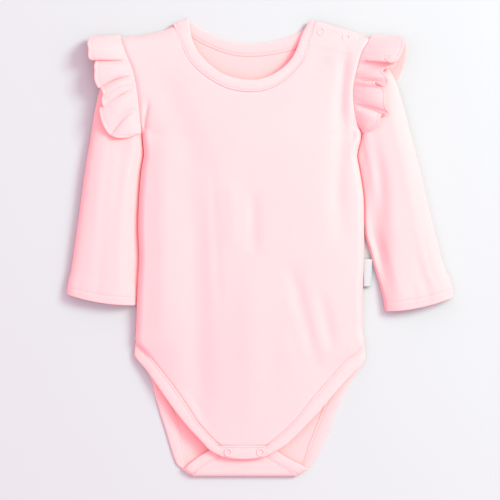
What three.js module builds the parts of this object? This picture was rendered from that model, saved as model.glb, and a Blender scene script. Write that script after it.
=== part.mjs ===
// A baby bodysuit with long sleeves and shoulder ruffles, laid flat on its back.
// Millimetres. X runs across the garment, Y from the crotch up to the neck, Z up from the surface.
// The tables below are measured from the centre line of the body and from the bottom fold.
import * as THREE from 'three';

// Driving dimensions
const KNIT_WALL = 1.4;          // soft interlock knit, its loft included
const RUFFLE_WALL = 1.1;        // lighter single layer of the ruffles
const BINDING_WALL = 2.4;       // folded strip closed over the raw edge
const SEAM_GAP = 0.3;           // between two pieces that are sewn together
const SEAM_HEIGHT = 5;          // the side seams lie this high above the surface
const SEAM_BAND = 0.4;          // rims this close to that height meet face to face
const SIDE_ROLL = 11;           // width of the soft roll beside a side seam
const BACK_ROLL = 7;            // the same on the back, which lies on the surface
const SHOULDER_ROLL = 10;
const ROLL_COLUMNS = [0, 0.8, 3.2, 8]; // distances from a side seam at which its roll is shaped
const SLEEVE_SEAM_HEIGHT = 5;
const ARMPIT_Y = 309;
const CHEST_Y = 340;
const HIP_Y = 121;              // the side seam ends here, at the leg binding
const CROTCH_Y = 28;            // end of the front panel, at the crotch band
const SHOULDER_TIP_Y = 396;
const FOLD_RADIUS = 3.5;        // of the back panel where it turns forward into the flap
const FLAP_END_Y = 27;
const SNAP_RING_RADIUS = 3.9;
const SNAP_HOLE_RADIUS = 1.9;
const SNAP_RING_HEIGHT = 1.1;
const SNAP_STUD_RADIUS = 4.6;
const SNAP_EDGE = 0.4;          // bevel round the stud's rims
const SNAP_SIDES = 20;
const CROTCH_BAND_TOP = 13;
const CROTCH_BAND_UNDER = 10.2;
const LABEL_WALL = 1.0;         // folded ribbon, two layers
const LABEL_DROOP = 2.2;        // how far its free end hangs below its sewn end
const SLEEVE_SEAM_GAP = 0.8;    // the sleeve head stands clear of the body's turned edge
const SLEEVE_TIP_GAP = 1.2;     // and a little more at the shoulder tip
const RUFFLE_FOOT = 0.6;        // the front ruffle starts this far outside the armhole seam
const RUFFLE_BACK_FOOT = 2;     // and the back half this far
const RUFFLE_PUFF = 2.2;        // how high the front ruffle arches between seam and hem
const RUFFLE_TIP = { footY: 2.6, footZ: 5.5, hemIn: 1.5, hemY: 0.5, hemZ: 7 };
const BINDING_PUFF = 0.35;      // the binding's edges lie this much lower than its middle
const ARMHOLE_BLEND = 6;        // height over which the side seam becomes the armhole
const HIP_BLEND = 22;           // the front's roll fades in over this height above the legs
const HIP_BACK_BLEND = 14;      // and the back's over this
const EDGE_CALM = { from: 2, to: 16 }; // folds fade out between these distances from a side

// Where the rows of the front lie, from the crotch band to the shoulder, and of the back, from
// the shoulder to the bottom fold, as shares of the way
const FRONT_ROWS = [
  0, 0.02, 0.05, 0.09, 0.13, 0.17, 0.205, 0.235, 0.26, 0.31, 0.365, 0.425, 0.49, 0.55,
  0.61, 0.665, 0.71, 0.745, 0.78, 0.82, 0.86, 0.9, 0.93, 0.96, 0.98, 0.993, 1,
];
const BACK_ROWS = [
  1, 0.993, 0.98, 0.95, 0.91, 0.87, 0.82, 0.775, 0.74, 0.68, 0.6, 0.52, 0.44, 0.36,
  0.3, 0.27, 0.24, 0.2, 0.16, 0.12, 0.08, 0.04, 0,
];
const FLAP_ROWS = [7, 11, 16, FLAP_END_Y];
const BINDING_COLUMNS = [0, 0.18, 0.5, 0.82, 1];
const RUFFLE_COLUMNS = [0, 0.3, 0.65, 1];

// Both sides of the body where the front meets its seams and bindings, by height
const FRONT_OUTLINE = [
  { y: 16, left: -23, right: 11 },
  { y: 28, left: -26.5, right: 14.5 },
  { y: 33, left: -32.5, right: 21 },
  { y: 39, left: -38.5, right: 28.5 },
  { y: 50, left: -48, right: 40 },
  { y: 68, left: -60, right: 54.5 },
  { y: 86, left: -73, right: 70 },
  { y: 103, left: -86.5, right: 86 },
  { y: 112, left: -95, right: 98 },
  { y: 121, left: -103, right: 103 },
  { y: 132, left: -103, right: 101.5 },
  { y: 171, left: -101.5, right: 102 },
  { y: 197, left: -100, right: 103 },
  { y: 225, left: -101, right: 103 },
  { y: 253, left: -100, right: 102.5 },
  { y: 277, left: -98, right: 99 },
  { y: 290, left: -96, right: 97 },
  { y: 309, left: -97.5, right: 101 },
  { y: 318, left: -98, right: 96.5 },
  { y: 333, left: -99.5, right: 93.5 },
  { y: 350, left: -101.5, right: 93 },
  { y: 366, left: -105, right: 96 },
  { y: 382, left: -111.5, right: 100.5 },
  { y: 396, left: -116, right: 108 },
  { y: 415, left: -117, right: 109 },
];

// The back differs below the hip only, where its leg edges run straighter to the bottom fold
const BACK_LEG_OUTLINE = [
  { y: 0, left: -53, right: 43.5 },
  { y: 9, left: -57, right: 47 },
  { y: 18, left: -59, right: 50.5 },
  { y: 31, left: -61.5, right: 55 },
  { y: 45, left: -65, right: 60.5 },
  { y: 60, left: -70, right: 66 },
  { y: 73, left: -74, right: 72 },
  { y: 90, left: -78.5, right: 80.5 },
  { y: 102, left: -85.5, right: 89 },
  { y: 113, left: -96, right: 98 },
  { y: 121, left: -103, right: 103 },
];

// The crotch flap, by height above the bottom fold
const FLAP_OUTLINE = [
  { y: 0, left: -51, right: 41 },
  { y: 4, left: -48.5, right: 36 },
  { y: 10, left: -40.5, right: 25.5 },
  { y: 16, left: -31, right: 16.5 },
  { y: 27, left: -22, right: 10 },
];

// Shoulder and neck edges of the two panels, from left to right, and the free edge of the
// binding beside each point of the neck
const LEFT_SHOULDER = [[-116, 396], [-96, 398], [-79, 402], [-68, 407]];
const RIGHT_SHOULDER = [[59, 411], [71, 408], [88, 403], [108, 396]];
const FRONT_NECK = [
  { x: -68, y: 407, freeX: -54.8, freeY: 410 },
  { x: -64.5, y: 397, freeX: -53.2, freeY: 398.5 },
  { x: -60, y: 386, freeX: -50.2, freeY: 389.5 },
  { x: -54, y: 375, freeX: -45, freeY: 380.5 },
  { x: -44, y: 364.5, freeX: -37, freeY: 372 },
  { x: -33, y: 356.5, freeX: -28, freeY: 365 },
  { x: -21, y: 350.5, freeX: -18.3, freeY: 360.5 },
  { x: -8, y: 347.5, freeX: -8, freeY: 358 },
  { x: 2, y: 347, freeX: 2, freeY: 357.3 },
  { x: 12, y: 348.2, freeX: 10.5, freeY: 358.5 },
  { x: 24.3, y: 353.2, freeX: 19.8, freeY: 362 },
  { x: 37, y: 363.3, freeX: 29.5, freeY: 368.5 },
  { x: 47, y: 375, freeX: 37.5, freeY: 377 },
  { x: 52, y: 386, freeX: 42.5, freeY: 386.8 },
  { x: 54.8, y: 397, freeX: 46.3, freeY: 398 },
  { x: 59, y: 411, freeX: 53, freeY: 410.6 },
];
const BACK_NECK = [
  { x: -68, y: 407, freeX: -54.6, freeY: 411 },
  { x: -60, y: 401, freeX: -50, freeY: 408 },
  { x: -52, y: 396.5, freeX: -44, freeY: 404 },
  { x: -40, y: 390, freeX: -33, freeY: 398.8 },
  { x: -24, y: 383.5, freeX: -21, freeY: 394.2 },
  { x: -10, y: 380.5, freeX: -8, freeY: 391.8 },
  { x: 2, y: 380, freeX: 3, freeY: 391.2 },
  { x: 15, y: 381, freeX: 13, freeY: 392 },
  { x: 29, y: 383.5, freeX: 25, freeY: 394.2 },
  { x: 42, y: 387, freeX: 37, freeY: 397.8 },
  { x: 52, y: 393, freeX: 47, freeY: 402.5 },
  { x: 59, y: 402, freeX: 53, freeY: 408 },
];
const BACK_RIGHT_SHOULDER = [[59, 402], [71, 403.5], [88, 401], [108, 396]];

// Heights of the front above the surface: along its middle, and beside its edges
const FRONT_HEIGHTS = [
  { y: 16, middle: 12.6, edge: 12.5 },
  { y: 40, middle: 12.8, edge: 12 },
  { y: 70, middle: 13.4, edge: 11 },
  { y: 100, middle: 15, edge: 9.5 },
  { y: 121, middle: 16.5, edge: 10 },
  { y: 160, middle: 18.5, edge: 13 },
  { y: 230, middle: 19.5, edge: 14.5 },
  { y: 300, middle: 18.5, edge: 13.5 },
  { y: 347, middle: 14, edge: 13 },
  { y: 376, middle: 10.6, edge: 10.6 },
  { y: 396, middle: 7.8, edge: 7.8 },
  { y: 415, middle: 6.9, edge: 6.9 },
];

// Broad soft folds of the front: a negative depth is a ridge
const FRONT_FOLDS = [
  { x0: -32, y0: 268, x1: -41, y1: 45, width: 13, depth: 2.2 },
  { x0: -70, y0: 305, x1: -70, y1: 125, width: 11, depth: -1.3 },
  { x0: -12, y0: 248, x1: -14, y1: 200, width: 8, depth: -0.8 },
  { x0: 6, y0: 256, x1: 6, y1: 204, width: 6, depth: 1.1 },
  { x0: 14, y0: 190, x1: 10, y1: 60, width: 14, depth: -1.3 },
  { x0: 44, y0: 175, x1: 64, y1: 104, width: 6, depth: 1.6 },
  { x0: 66, y0: 166, x1: 79, y1: 116, width: 5, depth: 1.3 },
  { x0: 90, y0: 338, x1: 82, y1: 255, width: 7, depth: 1.9 },
  { x0: -76, y0: 372, x1: -44, y1: 268, width: 13, depth: 1.1 },
];

// Rings of the sleeves from the armhole to the cuff: the ends of each ring on the outer
// and inner edge, its height, how far its underside is lifted, and how far it bows down
const SLEEVE_LEFT_RINGS = [
  { outerX: -116.5, outerY: 396, innerX: -98.4, innerY: 309, height: 13, lift: 1.8, bow: 0 },
  { outerX: -119.5, outerY: 388, innerX: -99, innerY: 304, height: 14, lift: 3.2, bow: 2 },
  { outerX: -126, outerY: 374, innerX: -97.7, innerY: 297, height: 14.5, lift: 3.6, bow: 3 },
  { outerX: -134, outerY: 355, innerX: -97.6, innerY: 287, height: 14.5, lift: 3.6, bow: 3 },
  { outerX: -140, outerY: 330, innerX: -99.7, innerY: 272, height: 14.5, lift: 2.6, bow: 2 },
  { outerX: -144.5, outerY: 303, innerX: -101.1, innerY: 255, height: 15, lift: 0.6, bow: 1 },
  { outerX: -149, outerY: 276, innerX: -101.8, innerY: 238, height: 15, lift: 0, bow: 0 },
  { outerX: -152.5, outerY: 250, innerX: -102.2, innerY: 221, height: 14.5, lift: 0, bow: 0 },
  { outerX: -156, outerY: 224, innerX: -101.8, innerY: 203, height: 14, lift: 0, bow: 0 },
  { outerX: -159, outerY: 203, innerX: -102.4, innerY: 187, height: 13.5, lift: 0, bow: 1 },
  { outerX: -162, outerY: 187, innerX: -103.2, innerY: 174, height: 13, lift: 0, bow: 1.5 },
  { outerX: -165.5, outerY: 179, innerX: -104, innerY: 170, height: 13.5, lift: 0, bow: 2 },
  { outerX: -166, outerY: 171, innerX: -104.5, innerY: 162, height: 13.5, lift: 0, bow: 2 },
  { outerX: -164, outerY: 163.5, innerX: -104.5, innerY: 154.5, height: 12.5, lift: 0, bow: 2.5 },
];
const SLEEVE_RIGHT_RINGS = [
  { outerX: 108.5, outerY: 396, innerX: 102, innerY: 309, height: 13, lift: 1.8, bow: 0 },
  { outerX: 113, outerY: 388, innerX: 102.6, innerY: 303, height: 14, lift: 3.2, bow: 3 },
  { outerX: 121, outerY: 374, innerX: 99.8, innerY: 294, height: 14.5, lift: 3.6, bow: 4 },
  { outerX: 131.5, outerY: 356, innerX: 99.3, innerY: 282, height: 14.5, lift: 3.6, bow: 4 },
  { outerX: 141, outerY: 325, innerX: 102.2, innerY: 264, height: 14.5, lift: 2.6, bow: 2 },
  { outerX: 148.5, outerY: 297, innerX: 104, innerY: 247, height: 14.5, lift: 0.6, bow: 1 },
  { outerX: 155, outerY: 272, innerX: 104.3, innerY: 231, height: 14, lift: 0, bow: 0 },
  { outerX: 160.5, outerY: 247, innerX: 105.2, innerY: 216, height: 13.5, lift: 0, bow: 0 },
  { outerX: 166, outerY: 225, innerX: 108.5, innerY: 203, height: 13, lift: 0, bow: 1 },
  { outerX: 171, outerY: 205, innerX: 112, innerY: 190, height: 12.5, lift: 0, bow: 1.5 },
  { outerX: 175.5, outerY: 189, innerX: 116, innerY: 177, height: 12.5, lift: 0, bow: 2 },
  { outerX: 180.5, outerY: 179, innerX: 119, innerY: 166, height: 13, lift: 0, bow: 2.5 },
  { outerX: 182.5, outerY: 170, innerX: 121, innerY: 157, height: 13, lift: 0, bow: 2.5 },
  { outerX: 183.5, outerY: 162, innerX: 122, innerY: 149, height: 12, lift: 0, bow: 3 },
];

// A long soft trough down the lower inner half of the right sleeve
const SLEEVE_RIGHT_TROUGH = { first: 4, last: 11, across: 0.66, width: 0.2, depth: 3 };

// Ruffles: each row is one crest or hollow of the fluted hem, from the armpit up the front,
// over the shoulder and down the back, with its foot on the armhole seam
const RUFFLE_LEFT_FLUTES = [
  { seamY: 313, hemX: -104, hemY: 307.5, hemZ: 15.8 },
  { seamY: 315.5, hemX: -113, hemY: 304.5, hemZ: 17 },
  { seamY: 319, hemX: -123, hemY: 306, hemZ: 19.5 },
  { seamY: 324, hemX: -129, hemY: 313, hemZ: 16.6 },
  { seamY: 329.5, hemX: -133.5, hemY: 321, hemZ: 20 },
  { seamY: 335, hemX: -133.5, hemY: 330, hemZ: 16.4 },
  { seamY: 341, hemX: -132.5, hemY: 338.5, hemZ: 20 },
  { seamY: 348, hemX: -136, hemY: 349, hemZ: 15.5 },
  { seamY: 357, hemX: -139.5, hemY: 360, hemZ: 20.5 },
  { seamY: 366, hemX: -139, hemY: 371, hemZ: 14.5 },
  { seamY: 378, hemX: -145, hemY: 383, hemZ: 20.5 },
  { seamY: 389, hemX: -145.5, hemY: 393, hemZ: 16 },
];
const RUFFLE_RIGHT_FLUTES = [
  { seamY: 313, hemX: 106.5, hemY: 310, hemZ: 16.2 },
  { seamY: 316, hemX: 112, hemY: 313.5, hemZ: 18 },
  { seamY: 320, hemX: 118, hemY: 321, hemZ: 21.5 },
  { seamY: 325, hemX: 121, hemY: 328.5, hemZ: 17 },
  { seamY: 330.5, hemX: 123.5, hemY: 337, hemZ: 23.5 },
  { seamY: 337, hemX: 119, hemY: 345, hemZ: 17 },
  { seamY: 343, hemX: 124, hemY: 351, hemZ: 25 },
  { seamY: 349, hemX: 117, hemY: 357, hemZ: 18 },
  { seamY: 355, hemX: 125.5, hemY: 362.5, hemZ: 25.5 },
  { seamY: 362, hemX: 121, hemY: 369, hemZ: 18.5 },
  { seamY: 370, hemX: 130, hemY: 375, hemZ: 25 },
  { seamY: 378, hemX: 137, hemY: 383, hemZ: 18 },
  { seamY: 389, hemX: 140.5, hemY: 391.5, hemZ: 19.5 },
];
const RUFFLE_LEFT_BACK_FLUTES = [
  { seamY: 389, reach: 30, hemY: 389, hemZ: 0 },
  { seamY: 376, reach: 29, hemY: 373, hemZ: 1.2 },
  { seamY: 362, reach: 30, hemY: 357, hemZ: 0 },
  { seamY: 348, reach: 29, hemY: 342, hemZ: 1.2 },
  { seamY: 335, reach: 25, hemY: 328, hemZ: 0 },
  { seamY: 322, reach: 18, hemY: 316, hemZ: 0.9 },
  { seamY: 313, reach: 6, hemY: 310, hemZ: 0 },
];
const RUFFLE_RIGHT_BACK_FLUTES = [
  { seamY: 389, reach: 35, hemY: 390, hemZ: 0 },
  { seamY: 376, reach: 40, hemY: 377, hemZ: 1.2 },
  { seamY: 362, reach: 39, hemY: 363, hemZ: 0 },
  { seamY: 348, reach: 31, hemY: 344, hemZ: 1.2 },
  { seamY: 335, reach: 25, hemY: 328, hemZ: 0 },
  { seamY: 322, reach: 18, hemY: 316, hemZ: 0.9 },
  { seamY: 313, reach: 6, hemY: 310, hemZ: 0 },
];

// Bindings: each row has a point on the free edge, a point on the stitched edge, and
// the direction that the outside faces there
const UP = [0, 0, 1];
const DOWN = [0, 0, -1];
const NECK_TURN = { free: [-54.8, 413.4, 4.2], sewn: [-67.9, 409.4, 4.4], faces: [0, 1, 0] };
const LEG_LEFT_ROWS = [
  { free: [-25.6, 18.6, 12.6], sewn: [-26.9, 27.5, 12.6], faces: UP },
  { free: [-36, 24.2, 12.2], sewn: [-32.8, 32.8, 12.2], faces: UP },
  { free: [-44.5, 33, 11.9], sewn: [-38.9, 38.8, 12], faces: UP },
  { free: [-56.5, 45.8, 11.4], sewn: [-48.3, 49.8, 11.7], faces: UP },
  { free: [-69, 61.5, 10.7], sewn: [-60.3, 67.8, 11.1], faces: UP },
  { free: [-82.5, 80.5, 9.6], sewn: [-73.3, 85.8, 10.2], faces: UP },
  { free: [-94, 96.5, 8], sewn: [-86.8, 102.8, 9.4], faces: [-0.1, 0, 1] },
  { free: [-101.5, 104.5, 6.6], sewn: [-96.2, 111.2, 7.6], faces: [-0.6, -0.1, 1] },
  { free: [-104.6, 108.6, 3.9], sewn: [-103.9, 120.4, 5], faces: [-1, 0, 0] },
  { free: [-100.5, 103.5, 0.6], sewn: [-96.4, 112.8, 1], faces: [-0.4, 0, -1] },
  { free: [-94.5, 96.5, 0], sewn: [-86.4, 101.8, 0], faces: DOWN },
  { free: [-89, 86.5, 0], sewn: [-79.4, 90, 0], faces: DOWN },
  { free: [-85, 70, 0], sewn: [-74.3, 73, 0], faces: DOWN },
  { free: [-81, 56, 0], sewn: [-70.3, 59.8, 0], faces: DOWN },
  { free: [-76.5, 42, 0], sewn: [-65.3, 45, 0], faces: DOWN },
  { free: [-72.5, 28.5, 0], sewn: [-61.8, 31, 0], faces: DOWN },
  { free: [-69.2, 18, 0], sewn: [-59.3, 18, 0], faces: DOWN },
  { free: [-66, 10.6, 0], sewn: [-57.3, 9, 0], faces: DOWN },
  { free: [-62.6, 7, 0.8], sewn: [-54.8, 2.2, 0.8], faces: [-0.2, -0.6, -1] },
  { free: [-60.6, 5.8, 3.5], sewn: [-53.2, 0.7, 3.5], faces: [-0.3, -1, 0] },
  { free: [-58.6, 7.2, 6.3], sewn: [-51.6, 1.9, 6.3], faces: [-0.2, -0.6, 1] },
  { free: [-55.5, 10.8, 7.1], sewn: [-49.7, 4.4, 7.1], faces: UP },
  { free: [-46.5, 17.6, 7.1], sewn: [-40.8, 10.4, 7.1], faces: UP },
  { free: [-37, 23.6, 7.1], sewn: [-31.3, 16.2, 7.1], faces: UP },
  { free: [-29.5, 29.5, 7.1], sewn: [-23, 26.5, 7.1], faces: UP },
];
const LEG_RIGHT_ROWS = [
  { free: [13.6, 18.4, 12.6], sewn: [14.9, 27.5, 12.6], faces: UP },
  { free: [25, 24.4, 12.3], sewn: [21.3, 32.7, 12.3], faces: UP },
  { free: [34, 30.6, 12], sewn: [28.9, 38.7, 12.1], faces: UP },
  { free: [46.5, 42.6, 11.5], sewn: [40.3, 49.7, 11.8], faces: UP },
  { free: [61.5, 58.2, 10.8], sewn: [54.9, 67.7, 11.2], faces: UP },
  { free: [77.5, 76.8, 9.7], sewn: [70.4, 85.7, 10.3], faces: UP },
  { free: [91.5, 91.6, 8], sewn: [86.4, 102.6, 9.4], faces: [0.1, 0, 1] },
  { free: [100.4, 99.6, 6.6], sewn: [100.2, 109.6, 7.2], faces: [0.6, -0.1, 1] },
  { free: [104.6, 105.5, 3.9], sewn: [104.3, 119.4, 4.8], faces: [1, 0, 0] },
  { free: [102.4, 101.6, 0.6], sewn: [98.4, 112.8, 1], faces: [0.4, 0, -1] },
  { free: [97, 94, 0], sewn: [89.7, 101.8, 0], faces: DOWN },
  { free: [89.5, 83.2, 0], sewn: [81.3, 89.8, 0], faces: DOWN },
  { free: [81.8, 68.6, 0], sewn: [72.3, 72.8, 0], faces: DOWN },
  { free: [76.8, 56, 0], sewn: [66.4, 59.8, 0], faces: DOWN },
  { free: [71.5, 42, 0], sewn: [60.9, 45, 0], faces: DOWN },
  { free: [66, 29, 0], sewn: [55.3, 31, 0], faces: DOWN },
  { free: [61, 18.4, 0], sewn: [50.8, 18, 0], faces: DOWN },
  { free: [56.8, 11, 0], sewn: [47.3, 9, 0], faces: DOWN },
  { free: [53.6, 7.4, 0.8], sewn: [45.2, 2.2, 0.8], faces: [0.2, -0.6, -1] },
  { free: [51.4, 6, 3.5], sewn: [43.2, 0.7, 3.5], faces: [0.3, -1, 0] },
  { free: [49.6, 7.4, 6.3], sewn: [40.8, 1.9, 6.3], faces: [0.2, -0.6, 1] },
  { free: [46.4, 10.4, 7.1], sewn: [37.2, 4.5, 7.1], faces: UP },
  { free: [36, 15.4, 7.1], sewn: [25.8, 10.4, 7.1], faces: UP },
  { free: [25, 22.4, 7.1], sewn: [16.8, 16.3, 7.1], faces: UP },
  { free: [17.5, 29.5, 7.1], sewn: [10.3, 26.6, 7.1], faces: UP },
];
const CROTCH_BAND_ROWS = [
  { free: [-25.2, 18.4, 12.7], sewn: [-26.4, 27.6, 12.7], faces: UP },
  { free: [-16, 16.8, 12.9], sewn: [-16, 27.6, 12.9], faces: UP },
  { free: [-6, 16.2, 12.9], sewn: [-6, 27.6, 12.9], faces: UP },
  { free: [4, 16.8, 12.9], sewn: [4, 27.6, 12.9], faces: UP },
  { free: [13.2, 18.2, 12.7], sewn: [14.4, 27.6, 12.7], faces: UP },
];

const SHOULDER_SNAPS = [
  { name: 'inner', x: 64, y: 401.5, edgeY: 410 },
  { name: 'outer', x: 87, y: 396, edgeY: 403.3 },
];
const CROTCH_SNAPS = [
  { name: 'left', x: -19.5, y: 22.6 },
  { name: 'right', x: 9.5, y: 22.6 },
];
const LABEL = { left: 103.6, right: 109.6, bottom: 171, top: 195.5, height: 5.2 };

// Soft value between two heights, rising smoothly from 0 to 1
function ease(from, to, value) {
  const t = Math.min(1, Math.max(0, (value - from) / (to - from)));
  return t * t * (3 - 2 * t);
}

// A named column of a table as a smooth function of another
function column(table, key, name) {
  return (at) => {
    const last = table.length - 1;
    let i = 0;
    while (i < last - 1 && at > table[i + 1][key]) i += 1;
    const a = table[i];
    const b = table[i + 1];
    const t = Math.min(1, Math.max(0, (at - a[key]) / (b[key] - a[key])));
    const before = table[Math.max(0, i - 1)];
    const after = table[Math.min(last, i + 2)];
    const span = b[key] - a[key];
    const slopeA = ((b[name] - before[name]) / (b[key] - before[key])) * span;
    const slopeB = ((after[name] - a[name]) / (after[key] - a[key])) * span;
    const toB = 3 * t ** 2 - 2 * t ** 3;
    const leaveA = t ** 3 - 2 * t ** 2 + t;
    const reachB = t ** 3 - t ** 2;
    return (1 - toB) * a[name] + toB * b[name] + leaveA * slopeA + reachB * slopeB;
  };
}

// Quarter-round rise beside a rolled edge: 0 on the edge, 1 once past the roll
function edgeRoll(distance, radius) {
  const t = Math.min(1, Math.max(0, distance / radius));
  return Math.sqrt(1 - (1 - t) ** 2);
}

// A closed cloth wall. The grid holds the points of the outside, row by row; the inside lies
// one thickness behind it. A round grid joins its last column to its first. An edge that lies
// at the seam height keeps its rim level, so that it meets the other edge face to face.
function clothWall(grid, thickness, options = {}) {
  const { round = false, flip = false, seamHeight = null } = options;
  const rows = grid.length;
  const cols = grid[0].length;
  const wrap = (c) => (round ? (c + cols) % cols : Math.min(cols - 1, Math.max(0, c)));
  const at = (r, c) => grid[Math.min(rows - 1, Math.max(0, r))][wrap(c)];
  const isRim = (r, c) => r === 0 || r === rows - 1 || (!round && (c === 0 || c === cols - 1));
  const outside = [];
  const inside = [];
  for (let r = 0; r < rows; r += 1) {
    for (let c = 0; c < cols; c += 1) {
      const along = at(r + 1, c).clone().sub(at(r - 1, c));
      const across = at(r, c + 1).clone().sub(at(r, c - 1));
      const normal = across.cross(along).normalize();
      if (flip) normal.negate();
      const atSeam = seamHeight !== null && Math.abs(at(r, c).z - seamHeight) < SEAM_BAND;
      if (isRim(r, c) && atSeam) normal.setZ(0).normalize();
      outside.push(at(r, c));
      inside.push(at(r, c).clone().addScaledVector(normal, -thickness));
    }
  }
  const points = [...outside, ...inside];
  const half = outside.length;
  const index = [];
  const quad = (a, b, c, d) => {
    if (flip) index.push(a, c, b, a, d, c);
    else index.push(a, b, c, a, c, d);
  };
  const id = (r, c, side) => r * cols + (round ? c % cols : c) + side * half;
  const lastCol = round ? cols : cols - 1;
  for (let r = 0; r < rows - 1; r += 1) {
    for (let c = 0; c < lastCol; c += 1) {
      quad(id(r, c, 0), id(r, c + 1, 0), id(r + 1, c + 1, 0), id(r + 1, c, 0));
      quad(id(r, c, 1), id(r + 1, c, 1), id(r + 1, c + 1, 1), id(r, c + 1, 1));
    }
  }
  for (let c = 0; c < lastCol; c += 1) {
    quad(id(0, c, 0), id(0, c, 1), id(0, c + 1, 1), id(0, c + 1, 0));
    quad(id(rows - 1, c, 0), id(rows - 1, c + 1, 0), id(rows - 1, c + 1, 1), id(rows - 1, c, 1));
  }
  if (!round) {
    for (let r = 0; r < rows - 1; r += 1) {
      quad(id(r, 0, 0), id(r + 1, 0, 0), id(r + 1, 0, 1), id(r, 0, 1));
      quad(id(r, cols - 1, 0), id(r, cols - 1, 1), id(r + 1, cols - 1, 1), id(r + 1, cols - 1, 0));
    }
  }
  const geometry = new THREE.BufferGeometry();
  const places = points.flatMap((p) => [p.x, p.y, p.z]);
  geometry.setAttribute('position', new THREE.Float32BufferAttribute(places, 3));
  geometry.setIndex(index);
  return geometry;
}

const frontLeft = column(FRONT_OUTLINE, 'y', 'left');
const frontRight = column(FRONT_OUTLINE, 'y', 'right');
const backLegLeft = column(BACK_LEG_OUTLINE, 'y', 'left');
const backLegRight = column(BACK_LEG_OUTLINE, 'y', 'right');
const flapLeft = column(FLAP_OUTLINE, 'y', 'left');
const flapRight = column(FLAP_OUTLINE, 'y', 'right');
const middleHeight = column(FRONT_HEIGHTS, 'y', 'middle');
const edgeHeight = column(FRONT_HEIGHTS, 'y', 'edge');

// The armhole from the armpit to the shoulder tip: 0 at its ends, 1 along most of it
function armholeArch(y, power) {
  const a = (2 * (y - ARMPIT_Y)) / (SHOULDER_TIP_Y - ARMPIT_Y) - 1;
  return Math.sqrt(Math.max(0, 1 - Math.abs(a) ** power));
}

function armholeTop(y) {
  const height = SLEEVE_LEFT_RINGS[0].height;
  return SLEEVE_SEAM_HEIGHT + (height - SLEEVE_SEAM_HEIGHT) * armholeArch(y, 4);
}

function armholeUnder(y) {
  const lift = SLEEVE_LEFT_RINGS[0].lift;
  return lift + (SLEEVE_SEAM_HEIGHT - SEAM_GAP - lift) * (1 - armholeArch(y, 8));
}

// How deep the named folds press into a surface at one point
function foldDepth(folds, x, y) {
  let depth = 0;
  for (const fold of folds) {
    const dx = fold.x1 - fold.x0;
    const dy = fold.y1 - fold.y0;
    const length = Math.hypot(dx, dy);
    const along = ((x - fold.x0) * dx + (y - fold.y0) * dy) / length / length;
    const aside = ((x - fold.x0) * dy - (y - fold.y0) * dx) / length;
    const fade = ease(-0.12, 0.3, along) * (1 - ease(0.7, 1.12, along));
    depth += fold.depth * fade * Math.exp(-((aside / fold.width) ** 2));
  }
  return depth;
}

const NECK_CORNER_X = LEFT_SHOULDER.at(-1)[0];

// Height of the outside of the front above the surface
function frontHeight(x, y, topY) {
  const left = frontLeft(y);
  const right = frontRight(y);
  const t = (2 * (x - left)) / (right - left) - 1;
  const beside = Math.min(x - left, right - x);
  const inArmhole = ease(ARMPIT_Y, ARMPIT_Y + ARMHOLE_BLEND, y);
  const rim = edgeHeight(y) * (1 - inArmhole) + armholeTop(Math.min(y, SHOULDER_TIP_Y)) * inArmhole;
  const crown = 1 - Math.abs(t) ** 3;
  let z = rim + (middleHeight(y) - rim) * crown;
  z -= foldDepth(FRONT_FOLDS, x, y) * ease(EDGE_CALM.from, EDGE_CALM.to, beside);
  const seamed = ease(HIP_Y - HIP_BLEND, HIP_Y, y) * (1 - inArmhole);
  z -= seamed * (z - SEAM_HEIGHT) * (1 - edgeRoll(beside, SIDE_ROLL));
  const below = topY - y;
  const onLeftShoulder = 1 - ease(NECK_CORNER_X - 1, NECK_CORNER_X + 5, x);
  z -= onLeftShoulder * Math.max(0, z - SEAM_HEIGHT) * (1 - edgeRoll(below, SHOULDER_ROLL));
  return z;
}

// Height of the outside of the back, which lies on the surface and rises to its seams
function backHeight(x, y, topY) {
  if (y < HIP_Y - HIP_BACK_BLEND) return 0;
  const beside = Math.min(x - frontLeft(y), frontRight(y) - x);
  const inArmhole = ease(ARMPIT_Y, ARMPIT_Y + ARMHOLE_BLEND, y);
  const rise = SEAM_HEIGHT - SEAM_GAP;
  const seamed = ease(HIP_Y - HIP_BACK_BLEND, HIP_Y, y) * (1 - inArmhole);
  const side = seamed * rise * (1 - edgeRoll(beside, BACK_ROLL));
  const armEdge = armholeUnder(Math.min(y, SHOULDER_TIP_Y));
  const arm = inArmhole * armEdge * (1 - edgeRoll(beside, 2 * BACK_ROLL));
  const onLeftShoulder = 1 - ease(NECK_CORNER_X - 1, NECK_CORNER_X + 5, x);
  const shoulder = onLeftShoulder * rise * (1 - edgeRoll(topY - y, BACK_ROLL));
  return Math.max(side, arm, shoulder);
}

// Columns of a body panel: points along its top edge, crowded where the sides roll over
function panelColumns(left, neck, right) {
  const curve = (list) => new THREE.SplineCurve(list.map(([x, y]) => new THREE.Vector2(x, y)));
  const line = (list, count) => curve(list).getSpacedPoints(count);
  const neckLine = neck.map((point) => new THREE.Vector2(point.x, point.y));
  const fromLeft = (p) => p.x - frontLeft(p.y);
  const fromRight = (p) => frontRight(p.y) - p.x;
  const nextColumn = 3;
  const past = ROLL_COLUMNS.at(-1) + nextColumn;
  const finely = 400;
  const shoulderColumns = 5;
  const leftRoll = ROLL_COLUMNS.map((step) => line(left, finely).find((p) => fromLeft(p) >= step));
  const rightRoll = ROLL_COLUMNS.map((step) => line(right, finely).findLast((p) => fromRight(p) >= step));
  return [
    ...leftRoll,
    ...line(left, shoulderColumns).filter((p) => fromLeft(p) > past).slice(0, -1),
    ...neckLine,
    ...line(right, shoulderColumns).filter((p) => fromRight(p) > past).slice(1),
    ...rightRoll.reverse(),
  ];
}

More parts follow.
